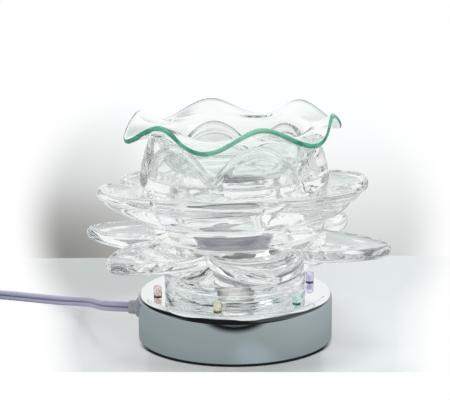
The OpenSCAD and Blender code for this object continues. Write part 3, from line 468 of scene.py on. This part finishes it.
def cord_mesh():
    """The cord's section, wide side upright, swept along the whole line."""
    ring = cord_section()
    verts, groove, count = [], [], len(CORD_LINE)
    for i, point in enumerate(CORD_LINE):
        before, after = Vector(CORD_LINE[max(0, i - 1)]), Vector(CORD_LINE[min(count - 1, i + 1)])
        forward = (after - before).normalized()
        side = forward.cross(Vector((0, 0, 1))).normalized()
        upward = side.cross(forward)
        for across, up, share in ring:
            verts.append(Vector(point) + side * across + upward * up)
            groove.append(share)
    m = len(ring)
    faces = [(i * m + j, i * m + (j + 1) % m, (i + 1) * m + (j + 1) % m, (i + 1) * m + j)
             for i in range(count - 1) for j in range(m)]
    faces += [tuple(range(m - 1, -1, -1)), tuple((count - 1) * m + j for j in range(m))]
    obj = new_object("mains_cord", verts, faces, "base")
    layer = obj.data.attributes.new("groove", "FLOAT", "POINT")
    layer.data.foreach_set("value", groove)
    work = bmesh.new()
    work.from_mesh(obj.data)
    bmesh.ops.recalc_face_normals(work, faces=work.faces)
    work.to_mesh(obj.data)
    work.free()
    return obj


mains_cord = cord_mesh()
stand_for(mains_cord, "cord_plastic", "cord_plastic", "power_cord", "cord_coil")

# Glass flower: three tiers of six petals on a foot
PETALS = 6
HALF_PETAL = 30.0
STEPS_PER_PETAL = 36
AROUND = PETALS * STEPS_PER_PETAL
FOOT_TOP = 43.5
LOWER_TOP = 66.0
MIDDLE_TOP = 96.0
CUP_TOP = 128.0
BORE = 33.0
CUP_BORE = 36
SEAM = 0.12
EDGE_HIGH = 7.2
CURVE_STEPS = 4
TIER_ANGLE = 50
LOWER_TIP_R = 97
LOWER_NOTCH_R = 51
LOWER_ROOT_R = 43.5
LOWER_SEAT_R = 46
LOWER_EDGE_DEPTH = 2.4
MIDDLE_TIP_R = 84
MIDDLE_NOTCH_R = 66
MIDDLE_ROOT_R = 55
MIDDLE_SEAT_R = 52
MIDDLE_EDGE_DEPTH = 2
LOWER_UNDER = ((0, 0), (0.1, 0.27), (0.26, 0.55), (0.48, 0.79), (0.74, 0.94), (1, 1))
LOWER_OVER = ((0.1, 0.55), (0.45, 1), (0.85, 0.4))
MIDDLE_FOOT = ((0.6, 0.1), (0.92, 0.5))
MIDDLE_UNDER = ((0, 0), (0.1, 0.27), (0.25, 0.4), (0.55, 0.55), (0.8, 0.76), (1, 1))
MIDDLE_OVER = ((0.12, 0.6), (0.5, 1), (0.85, 0.4))


def petal_share(azimuth):
    """0 on a petal's middle line and 1 halfway to the next petal."""
    inside = azimuth % (2 * HALF_PETAL)
    return min(inside, 2 * HALF_PETAL - inside) / HALF_PETAL


def petal_reach(share, straight, power, rounding=0.15):
    """1 at a petal's tip and 0 in the notch beside it."""
    soft = math.sqrt(share * share + rounding * rounding) - rounding
    soft = soft / (math.sqrt(1 + rounding * rounding) - rounding)
    return 1 - straight * soft - (1 - straight) * share ** power


def along(shares, a, b):
    """Points between a and b, each by its own shares of the way out and of the way up."""
    return [(mix(a[0], b[0], out), mix(a[1], b[1], up)) for out, up in shares]


def sagging(shares, a, b, dip):
    """Points on the line from a to b, each lower by its own share of the dip."""
    return [(mix(a[0], b[0], way), mix(a[1], b[1], way) - dip * sag) for way, sag in shares]


def petal_edge(tip, depth, low):
    """Rounded edge of a petal whose underside ends at depth inside the tip."""
    return [(tip - depth * back, low + EDGE_HIGH * up) for back, up in ((0, 0.24), (0, 0.76), (0.75, 1))]


def lower_section(share, _azimuth):
    """Closed outline of the lower tier as (radius, z), from the bore out and back to it."""
    reach = petal_reach(share, 0.86, 10)
    tip = mix(LOWER_NOTCH_R, LOWER_TIP_R, reach)
    low = mix(FOOT_TOP, LOWER_TOP, 0.94) - EDGE_HIGH
    root = (LOWER_ROOT_R, FOOT_TOP + SEAM)
    seat = (LOWER_SEAT_R, LOWER_TOP - SEAM)
    edge = petal_edge(tip, LOWER_EDGE_DEPTH, low)
    under = along(LOWER_UNDER, root, (tip - LOWER_EDGE_DEPTH, low))
    over = sagging(LOWER_OVER, edge[-1], seat, 2.2 * (0.2 + 0.8 * reach))
    curve = spline(under + edge + over + [seat], CURVE_STEPS)
    return [(BORE, FOOT_TOP + SEAM), root] + curve + [(BORE, LOWER_TOP - SEAM)]


def middle_section(share, azimuth):
    """Closed outline of the middle tier, whose petals lean with the azimuth."""
    reach = petal_reach(share, 0.3, 6)
    tip = mix(MIDDLE_NOTCH_R, MIDDLE_TIP_R, reach)
    turn_sin, turn_cos = sin_cos(azimuth)
    lean = 0.05 * turn_cos + 0.015 * turn_sin
    low = MIDDLE_TOP + mix(-1, 2.4, reach) + tip * lean - EDGE_HIGH
    seat_low = (LOWER_SEAT_R, LOWER_TOP + SEAM)
    root = (MIDDLE_ROOT_R, LOWER_TOP + 5)
    seat = (MIDDLE_SEAT_R, MIDDLE_TOP - SEAM)
    edge = petal_edge(tip, MIDDLE_EDGE_DEPTH, low)
    foot = along(MIDDLE_FOOT, seat_low, root)
    under = along(MIDDLE_UNDER, root, (tip - MIDDLE_EDGE_DEPTH, low))
    over = sagging(MIDDLE_OVER, edge[-1], seat, 2.6 * (0.4 + 0.6 * reach))
    curve = spline([seat_low] + foot + under + edge + over + [seat], CURVE_STEPS)
    return [(BORE, LOWER_TOP + SEAM)] + curve + [(BORE, MIDDLE_TOP - SEAM)]


# The upper petals stand up like a cup round the dish
CUP_HIGH = 32
NOTCH_HIGH = 13
CUP_IN = 51
CUP_BELLY = 58
CUP_WALL = 6
CUP_TAPER = 0.7
CUP_FLOOR = 4.6
CUP_BEAD = 1.5
NOTCH_DEEP = 4.2
BELLY = ((0, 0.72), (0.04, 0.88), (0.12, 1), (0.22, 1), (0.42, 0.86), (0.65, 0.56), (0.85, 0.24), (1, 0))


def cup_out(height, share):
    """Outer radius of the upper petals at a height above the middle tier."""
    level = clamp01(height / CUP_HIGH)
    for (a, x), (b, y) in zip(BELLY, BELLY[1:]):
        if level <= b:
            swell = mix(x, y, (level - a) / (b - a))
            break
    return mix(CUP_IN, CUP_BELLY, swell) - NOTCH_DEEP * share ** 3 * clamp01(height / 5.5)


def cup_wall(height):
    return CUP_WALL * mix(1, CUP_TAPER, clamp01(height / CUP_HIGH))


def waist(below):
    """How much thinner each face gets under the beaded top edge."""
    return 0.6 * math.exp(-((below - 4.6) / 1.5) ** 2)


def cup_section(share, _azimuth):
    """Closed outline of the upper petals: up the outer face, over the bead and down the inner face."""
    top = mix(CUP_HIGH, NOTCH_HIGH, share * share)
    side = top - CUP_BEAD
    belly = CUP_FLOOR + 3
    z = MIDDLE_TOP
    out = [(MIDDLE_SEAT_R, z + SEAM)]
    for h in [mix(0.75, side, k / 10) for k in range(11)]:
        out.append((cup_out(h, share) - waist(top - h), z + h))
    out.append((cup_out(top, share) - cup_wall(top) / 2, z + top))
    for h in [mix(side, belly, k / 8) for k in range(9)]:
        out.append((cup_out(h, share) - cup_wall(h) + waist(top - h), z + h))
    inside = cup_out(belly, share) - CUP_WALL
    out += [(mix(CUP_BORE, inside, 0.85), z + mix(CUP_FLOOR, belly, 0.75))]
    out += [(mix(CUP_BORE, inside, 0.5), z + mix(CUP_FLOOR, belly, 0.2))]
    out += [(CUP_BORE, z + CUP_FLOOR)]
    return [(CUP_BORE, z + SEAM)] + spline(out, CURVE_STEPS)


def tier(name, section, turn, node):
    """Tier of petals. One of them points so many degrees to the right of the front."""
    azimuths = [i * 360 / AROUND for i in range(AROUND)]
    loops = [section(petal_share(azimuth - turn), azimuth) for azimuth in azimuths]
    stand_for(ring_loop(name, loops, "flower", TIER_ANGLE), "clear_glass", "clear_glass", node)


tier("lower_tier", lower_section, 13, "lower_petals")
tier("middle_tier", middle_section, -15, "middle_petals")
tier("upper_tier", cup_section, 16, "upper_petals")

# The flower's foot: two rounded rings, one on the other
FOOT_IN = 36
RING_OUT = 41.9
ROUNDING = 1.6
UPPER_ROUNDING = 5.15
LOWER_RING = 30
UPPER_RING = 36.75
CLOSEST = 0.05
foot_line = [(FOOT_IN, LOWER_RING + 0.02), (RING_OUT, LOWER_RING + 0.02)]
foot_line += arc(RING_OUT, LOWER_RING + ROUNDING, ROUNDING, -75, 0, 8)
foot_line += arc(RING_OUT, LOWER_RING + UPPER_ROUNDING, ROUNDING, 0, 70, 8)
foot_line += [(42.2, UPPER_RING)]
foot_line += arc(RING_OUT, UPPER_RING + ROUNDING, ROUNDING, -90, 0, 8)
foot_line += arc(RING_OUT, UPPER_RING + UPPER_ROUNDING, ROUNDING, 0, 90, 8)
foot_profile = foot_line[:1] + [b for a, b in zip(foot_line, foot_line[1:]) if math.dist(a, b) > CLOSEST]
foot_profile += [(FOOT_IN, FOOT_TOP)]
stand_for(ring_loop("foot_rings", [foot_profile] * 256, "flower", 40), "foot_glass", "clear_glass",
          "glass_foot_ring")

# Oil dish: the middle line of its glass, each point with the share of the rim's wave that it takes
DISH_STEPS = 288
HALF_GLASS = 1.5
LIP = 0.95
DISH_R = 63.5
DISH_REST = CUP_TOP + 0.75
BOWL_R = CUP_IN - CUP_WALL * CUP_TAPER - 0.5
BOWL_DEEP = 26.4
RIM_UP = 4.85
WAVE_TURN = 15
WAVE_IN = 2.9
WAVE_UP = 5.8
BOWL = ((0.22, 1, 0), (0.48, 1, 0), (0.66, 0.945, 0), (0.79, 0.83, 0), (0.87, 0.67, 0), (0.915, 0.47, 0),
        (0.95, 0.27, 0.02), (0.985, 0.08, 0.06))
FLARE = ((0.11, 0.36, 0.15), (0.38, 0.7, 0.42), (0.7, 0.88, 0.72), (1, 1, 1))


def dish_line(azimuth):
    """The glass's middle line as (radius, z) from the bowl's floor to the rim."""
    wave = sin_cos(PETALS * (azimuth - WAVE_TURN))[1]
    turn_sin, turn_cos = sin_cos(azimuth)
    lean = DISH_R * (0.018 * turn_sin - 0.012 * turn_cos)
    line = []
    for out, down, share in BOWL:
        line.append((BOWL_R * out - WAVE_IN * wave * share,
                     DISH_REST - BOWL_DEEP * down + WAVE_UP * wave * share))
    for out, up, share in FLARE:
        line.append((mix(BOWL_R, DISH_R, out) - WAVE_IN * wave * share,
                     DISH_REST + RIM_UP * up + WAVE_UP * wave * share + lean * share * share))
    return spline(line, CURVE_STEPS)


def dish_column(line):
    """Outline of the glass round its middle line: outer face, rounded lip and inner face."""
    last = len(line) - 1
    normals = []
    for k in range(last + 1):
        a, b = line[max(0, k - 1)], line[min(last, k + 1)]
        length = math.dist(a, b)
        normals.append(((a[1] - b[1]) / length, (b[0] - a[0]) / length))
    outer = [(p[0] - HALF_GLASS * q[0], p[1] - HALF_GLASS * q[1]) for p, q in zip(line, normals)]
    inner = [(p[0] + HALF_GLASS * q[0], p[1] + HALF_GLASS * q[1]) for p, q in zip(line, normals)]
    tip, normal = line[last], normals[last]
    lip = []
    for angle in (-66, -42, -15, 15, 42, 66):
        lip_sin, lip_cos = sin_cos(angle)
        out = LIP * lip_cos
        lip.append((tip[0] + normal[1] * out + normal[0] * HALF_GLASS * lip_sin,
                    tip[1] - normal[0] * out + normal[1] * HALF_GLASS * lip_sin))
    return outer + lip + inner[::-1], range(len(outer) - 1, len(outer) + len(lip))


def dish():
    """Bowl and rim in one skin, with the rim's own glass on its lip."""
    verts = []
    for i in range(DISH_STEPS):
        azimuth = i * 360 / DISH_STEPS
        column, lip = dish_column(dish_line(azimuth))
        verts += [place(azimuth, r, z) for r, z in column]
    m = len(column)
    faces = round_faces(DISH_STEPS, m, False)
    low, high = len(verts), len(verts) + 1
    verts += [(0, 0, verts[0][2]), (0, 0, verts[m - 1][2])]
    faces += [(low, (i + 1) % DISH_STEPS * m, i * m) for i in range(DISH_STEPS)]
    faces += [(high, i * m + m - 1, (i + 1) % DISH_STEPS * m + m - 1) for i in range(DISH_STEPS)]
    obj = new_object("glass_dish", verts, faces, "dish", 60)
    stand_for(obj, "dish_glass", "green_glass", "oil_dish")
    obj.data.materials.append(finish["rim_glass"])
    for poly in obj.data.polygons[:DISH_STEPS * (m - 1)]:
        poly.material_index = int(poly.index % (m - 1) in lip)


dish()

# Chromed drum: a pressed shell with a bead round the flower's foot
DRUM_R = 60
DRUM_TOP = 30
DRUM_LOW = 1.4
SHEET = 1.2
DRUM_EDGE = 4.5
EDGE_R = DRUM_R - DRUM_EDGE
EDGE_Z = DRUM_TOP - DRUM_EDGE
INSIDE = DRUM_TOP - SHEET
HOLE_R = 13
BEAD = [(35.4, DRUM_TOP), (35.4, 31.12), (34.5, 31.6), (33.3, 31.6), (32.4, 31.12), (32.4, DRUM_TOP)]
shell_profile = [(DRUM_R, DRUM_LOW), (DRUM_R, 25.3)] + arc(EDGE_R, EDGE_Z, DRUM_EDGE, 0, 90, 20)
shell_profile += [(55.3, DRUM_TOP)] + BEAD + [(16, DRUM_TOP), (HOLE_R, DRUM_TOP)]
shell_profile += [(HOLE_R, INSIDE), (EDGE_R, INSIDE)]
shell_profile += arc(EDGE_R, EDGE_Z, DRUM_EDGE - SHEET, 0, 90, 12)[-2::-1] + [(DRUM_R - SHEET, DRUM_LOW)]
stand_for(ring_loop("drum", [shell_profile] * 384, "base", 35), "chrome", "chrome", "base_shell")

# Indicator lights: each packed lens gets a dark disc at its foot, which is painted shade, and a reflector.
# The values are the colour and the glow.
LENSES = {
    "led_red": ((0.95, 0.3, 0.2), 0.05),
    "led_yellow": ((0.9, 0.85, 0.3), 0.05),
    "led_green": ((0.1, 0.75, 0.6), 0.06),
    "led_violet": ((0.35, 0.3, 0.95), 0.05),
    "led_blue": ((0.2, 0.4, 0.95), 0.05),
    "led_white": ((0.85, 0.88, 0.95), 0.04),
}
FIRST_LIGHT = -72
LIGHT_STEP = 60
LIGHT_RING = 49.5
SHADE_DISC_PROFILE = ((0.01, 29.7), (2.4, 29.7), (2.4, 30.3), (1.9, 30.6), (0.01, 30.6))
CUP_PROFILE = ((0.01, 30.7), (0.55, 30.7), (0.6, 31.4), (1.25, 32.5), (1.35, 34.0), (1.0, 34.8), (0.01, 35.1))
TURNED_STEPS = 32


def turned(name, profile, centre, slot):
    """Small turned piece round its own axis at the centre."""
    turns = [place(k * 360 / TURNED_STEPS, 1, 0) for k in range(TURNED_STEPS)]
    verts = [(centre[0] + r * x, centre[1] + r * y, z) for x, y, _ in turns for r, z in profile]
    faces = round_faces(TURNED_STEPS, len(profile), False)
    stand_for(new_object(name, verts, faces, "base", 40), name, slot)


def dress(name, made):
    obj = nodes[name]
    obj.data.materials.clear()
    obj.data.materials.append(made)


for k, (light, (colour, glow)) in enumerate(LENSES.items()):
    dress(light, lens_material(light, colour, glow))
    # painted shade: a dark disc in the lens's colour, at the foot inside each lens
    seat, cup, slot = light + "_shade_disc", light + "_cup", light.replace("led_", "lens_")
    dark, mid = [[share * tone for tone in colour] for share in (0.12, 0.3)]
    finish[seat] = plain(seat, dark, mid, 0.4, 0, 900, 0.2, 0.0002)
    finish[cup] = cup_material(cup, colour)
    spot = place(FIRST_LIGHT + LIGHT_STEP * k, LIGHT_RING, 0)
    turned(seat, SHADE_DISC_PROFILE, spot, slot)
    turned(cup, CUP_PROFILE, spot, slot)

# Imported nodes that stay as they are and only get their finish
KEPT = {
    "base_cover": "cover_plastic", "cover_posts": "steel", "cover_screws": "steel", "rubber_feet": "rubber",
    "lamp_bracket": "steel", "bracket_screws": "zinc", "bracket_nuts": "steel", "lamp_holder": "ceramic",
    "holder_contacts": "brass", "holder_screws": "steel", "led_board": "board_green", "led_legs": "tinned",
    "touch_module": "cover_plastic", "terminal_block": "block_plastic", "supply_leads": "lead_grey",
    "module_leads": "lead_blue", "lamp_leads": "lead_white", "led_leads": "lead_red",
    "touch_lead": "lead_green", "lamp_base": "ceramic", "lamp_pins": "tinned", "lamp_reflector": "lamp_glass",
    "lamp_front_glass": "clear_glass", "lamp_capsule": "clear_glass", "cord_gland": "gland_plastic",
    "cord_tie": "tie_plastic", "plug_body": "gland_plastic", "plug_blades": "brass",
}
for name, finish_name in KEPT.items():
    dress(name, finish[finish_name])


# Room. Rays refracted by smooth glass count as glossy too, so through tells them from reflections.
WALL_PALE = (0.98, 0.99, 1.0)
WALL_GREY = (0.585, 0.61, 0.595)
WALL_DARK = (0.24, 0.235, 0.22)
PATCH_X = -162.0
PATCH_Y = 60.0
PATCH_WIDE = 100
PATCH_HIGH = 75
FADE_LEFT = 245
FADE_RIGHT = 265
FADE_HIGH = 210


def wall_colour(net, way, along_view, through):
    """Wall behind the table, laid out in picture pixels from the middle of the view."""
    x = net.times(net.over(net.dot(way, RIGHT), along_view), FOCAL_PX)
    y = net.times(net.over(net.dot(way, UP), along_view), -FOCAL_PX)
    # white above, greyer towards the table and a little greyer on the upper left
    haze = net.fall(net.size(net.add(y, 56.0)), 0, 50)
    haze = net.times(haze, net.fall(x, -110, -70))
    grey = net.times_add(haze, 0.25, net.rise(y, -90, 100))
    # paler on the right where it is seen through the glass
    paler = net.times(net.rise(x, -60, 60), 0.5)
    grey = net.times(grey, net.subtract(1.0, net.times(through, paler)))
    wall = net.blend(grey, WALL_PALE, WALL_GREY)
    # a dark patch low on the left, weaker through the glass
    aside = net.times(net.add(x, -PATCH_X), 1 / PATCH_WIDE)
    below = net.times(net.subtract(y, PATCH_Y), 1 / PATCH_HIGH)
    patch = net.fall(net.distance(aside, below), -0.24, 1.76)
    weaker = net.new("Mix")
    net.fill(weaker, {"Factor": through, "A": patch, "B": net.times(patch, 0.45)})
    wall = net.blend(weaker.outputs[0], wall, WALL_DARK)
    # a fade to white round the picture's edge, further out on the right
    across = net.larger(net.times(x, -1 / FADE_LEFT), net.times(x, 1 / FADE_RIGHT))
    down = net.times(net.add(y, -20.0), 1 / FADE_HIGH)
    return net.blend(net.rise(net.distance(across, down), 0.66, 0.87), wall, WHITE)


def room_colour(net, x, y, z):
    """Pale room: white above, a little greyer on the left, and greyer behind the camera."""
    room = net.blend(net.rise(x, -0.75, -0.2), (0.9, 0.93, 0.92), (0.97, 0.98, 0.98))
    behind_camera = net.times(net.fall(y, -0.75, -0.1), net.fall(z, 0.45, 0.75))
    room = net.blend(behind_camera, room, (0.76, 0.78, 0.77))
    return net.blend(net.rise(z, 0.62, 0.8), room, WHITE)


def mirrored_colour(net, way, x, y, z, through):
    """What chrome shows: a dark band round front and sides, bright overhead and behind, and a window."""
    dim = net.blend(net.rise(x, 0.2, 0.5), (0.012, 0.012, 0.013), (0.075, 0.08, 0.084))
    glow = net.times(net.fall(z, -0.02, 0.2), net.rise(y, -0.62, -0.2))
    glow = net.times(glow, net.times_add(through, -0.6, 1.0))
    dim = net.blend(glow, dim, (0.37, 0.41, 0.42))
    bright = net.blend(net.rise(y, 0.3, 0.6), (0.49, 0.525, 0.515), (0.98, 0.99, 1.0))
    bright = net.blend(through, bright, WHITE)
    height = net.add(z, net.times(net.larger(y, 0.0), 0.8))
    height = net.add(height, net.times(net.rise(x, 0.0, 0.3), 0.08))
    height = net.times_add(through, 0.24, height)
    mirror = net.blend(net.rise(height, 0.77, 0.88), dim, bright)
    window = net.rise(net.dot(way, (0.23, -0.66, 0.715)), 0.975, 0.992)
    return net.blend(window, mirror, (0.84, 0.855, 0.865))


def surroundings():
    world = bpy.data.worlds.new("studio")
    scene.world = world
    world.use_nodes = True
    net = Shading(world.node_tree)
    path = net.new("LightPath").outputs
    through = path["Is Transmission Ray"]
    way = net.new("TexCoord").outputs["Generated"]
    x, y, z = net.parts(way)
    along_view = net.dot(way, VIEW)
    room = room_colour(net, x, y, z)
    mirror = mirrored_colour(net, way, x, y, z, through)
    wall = wall_colour(net, way, along_view, through)
    # through the glass the mirror tones count nearly in full towards the camera and a third towards the back
    spared = net.times_add(net.rise(y, -0.05, 0.45), 0.6, 0.06)
    mirrored = net.subtract(path["Is Glossy Ray"], net.times(through, spared))
    seen = net.blend(mirrored, room, mirror)
    seen = net.blend(net.rise(along_view, 0.93, 0.965), seen, wall)
    light = net.blend(path["Is Diffuse Ray"], seen, (0.72, 0.73, 0.74))
    net.fill(net.nodes["Background"], {"Color": light, "Strength": 1.0})


surroundings()

# Table
TABLE_SIDE = 1500
TABLE_BACK = 197


def table_tone_and_shade(net, y, off, right, grain, contact_shadow):
    """The table as the camera sees it, with painted shade and light: darker at the back, most of all on the
    left, darker by the drum and lighter near it on the left.
    """
    # painted shade: darker at the back, most of all on the left
    back = net.blend(right, (0.435, 0.47, 0.458), (0.66, 0.705, 0.695))
    # painted light: lighter near the drum on the left front
    left_front = net.blend(net.rise(off, 0.06, 0.1), (0.92, 0.985, 0.97), (0.78, 0.83, 0.82))
    front = net.blend(right, left_front, (0.81, 0.875, 0.87))
    # painted shade: darker in front of the drum, towards the camera
    front = net.blend(net.rise(y, -0.075, -0.03), (0.7, 0.755, 0.75), front)
    # painted shade round the front of the drum
    drum_shade = net.times(net.fall(off, 0.068, 0.098), net.fall(y, -0.06, -0.03))
    front = net.blend(drum_shade, front, (0.5, 0.555, 0.57))
    tone = net.blend(net.fall(y, -0.08, 0.15), back, front)
    tone = net.blend(net.times(grain, 0.08), tone, (0.6, 0.6, 0.6))
    # painted shadow: the dark line under the drum's front edge
    return net.blend(contact_shadow, tone, (0.02, 0.024, 0.028))


def painted_table_reflection(net, x, y, off):
    """Painted reflection of the table for the chrome: painted shade a little darker near the drum, lighter
    patches, and black from a line in front on, with a thin painted highlight on that line.
    """
    # painted shade: a little darker near the drum
    shown = net.blend(net.rise(off, 0.06, 0.095), (0.252, 0.298, 0.302), (0.298, 0.348, 0.352))
    shown = net.blend(net.rise(off, 0.09, 0.2), shown, (0.378, 0.428, 0.436))
    # painted reflection: a lighter patch in front of the drum and a lighter right side
    spot = net.distance(net.times(net.subtract(x, 0.018), 1 / 0.022), net.times(net.add(y, 0.08), 1 / 0.03))
    shown = net.blend(net.rise(spot, 0.3, 1.3), (0.352, 0.411, 0.445), shown)
    shown = net.blend(net.times(net.rise(x, 0.02, 0.14), 0.3), shown, (0.504, 0.571, 0.58))
    # painted reflection: black from a line in front on
    shown = net.blend(net.fall(y, -0.1338, -0.1195), shown, (0.008, 0.009, 0.01))
    # painted highlight: a thin lighter line on that line
    highlight_line = net.fall(net.size(net.add(y, 0.1402)), 0.0008, 0.0026)
    return net.blend(highlight_line, shown, (0.134, 0.139, 0.143))


def table_fade(net, x, y, off, right):
    """Share of white: full on the far left and right and in front of a line, and partial near the drum, where
    it is painted light that lifts the drum's shade.
    """
    from_eye = net.add(y, STAND_BACK * MM)
    across = net.size(net.over(net.subtract(x, 0.003), from_eye))
    near = net.fall(y, 0.02, 0.19)
    start = net.times_add(near, -0.023, 0.125)
    width = net.times_add(near, 0.01, 0.035)
    fade = net.rise(net.over(net.subtract(across, start), width), 0.0, 1.0)
    # painted light near the drum, weaker on the right
    shadow_lift = net.times(net.fall(off, 0.088, 0.135), net.times_add(right, -0.18, 0.36))
    fade = net.larger(fade, shadow_lift)
    before = net.fall(net.add(y, net.times(x, 0.0212)), -0.0700, -0.0694)
    return net.larger(fade, before)


def emission(net, colour):
    node = net.new("Emission")
    net.feed(node.inputs["Color"], colour)
    return node


def table():
    left, right, back = -TABLE_SIDE, TABLE_SIDE, TABLE_BACK
    corners = [(left, -TABLE_SIDE, 0), (right, -TABLE_SIDE, 0), (right, back, 0), (left, back, 0)]
    obj = new_object("table", corners, [(0, 1, 2, 3)])
    made, net, shader = material("table", {"Roughness": 0.22, "IOR": 1.4})
    path = net.new("LightPath").outputs
    grain = net.uneven(shader, 25, 0.05, 0.0005)
    x, y, _ = net.parts(net.new("TexCoord").outputs["Object"])
    off = net.distance(x, y)
    rightward = net.rise(x, -0.09, 0.09)
    # painted shadow: the dark line under the drum's front edge
    contact_shadow = net.times(net.fall(off, 0.06, 0.062), net.fall(y, -0.03, -0.012))
    net.feed(shader.inputs["Base Color"], table_tone_and_shade(net, y, off, rightward, grain, contact_shadow))
    seen = net.sum("ADD", path["Is Camera Ray"], path["Is Transmission Ray"], clamp=True)
    seen = net.sum("SUBTRACT", seen, contact_shadow, clamp=True)
    fade = net.times(table_fade(net, x, y, off, rightward), seen)
    faded = net.join(fade, shader, emission(net, WHITE))
    # glossy rays, and partly rays through the glass, see the painted reflection of the table instead of its
    # lit surface
    mirrored = net.subtract(path["Is Glossy Ray"], net.times(path["Is Transmission Ray"], 0.55))
    net.show(net.join(mirrored, faded, emission(net, painted_table_reflection(net, x, y, off))))
    obj.data.materials.append(made)


table()


# Lamps
def area(name, stand, aim, size, watts):
    """Rectangular lamp. Its stand and aim are in millimetres, its size in metres."""
    data = bpy.data.lights.new(name, "AREA")
    data.shape = "RECTANGLE"
    data.size, data.size_y = size
    data.energy = watts
    obj = bpy.data.objects.new(name, data)
    scene.collection.objects.link(obj)
    obj.location = Vector(stand) * MM
    obj.rotation_euler = (Vector(aim) - Vector(stand)).to_track_quat("-Z", "Y").to_euler()
    obj.visible_glossy = False
    return obj


top_light = area("top_light", (100, -50, 900), (0, 0, 60), (0.5, 0.4), 3.0)
top_light.visible_transmission = False
area("side_light", (700, -350, 450), (0, 0, 60), (0.5, 0.6), 1.2)
inner_light = area("inner_light", (0, -22, 46), (0, 0, 31), (0.03, 0.01), 0.004)
inner_light.visible_camera = False
inner_light.visible_transmission = False
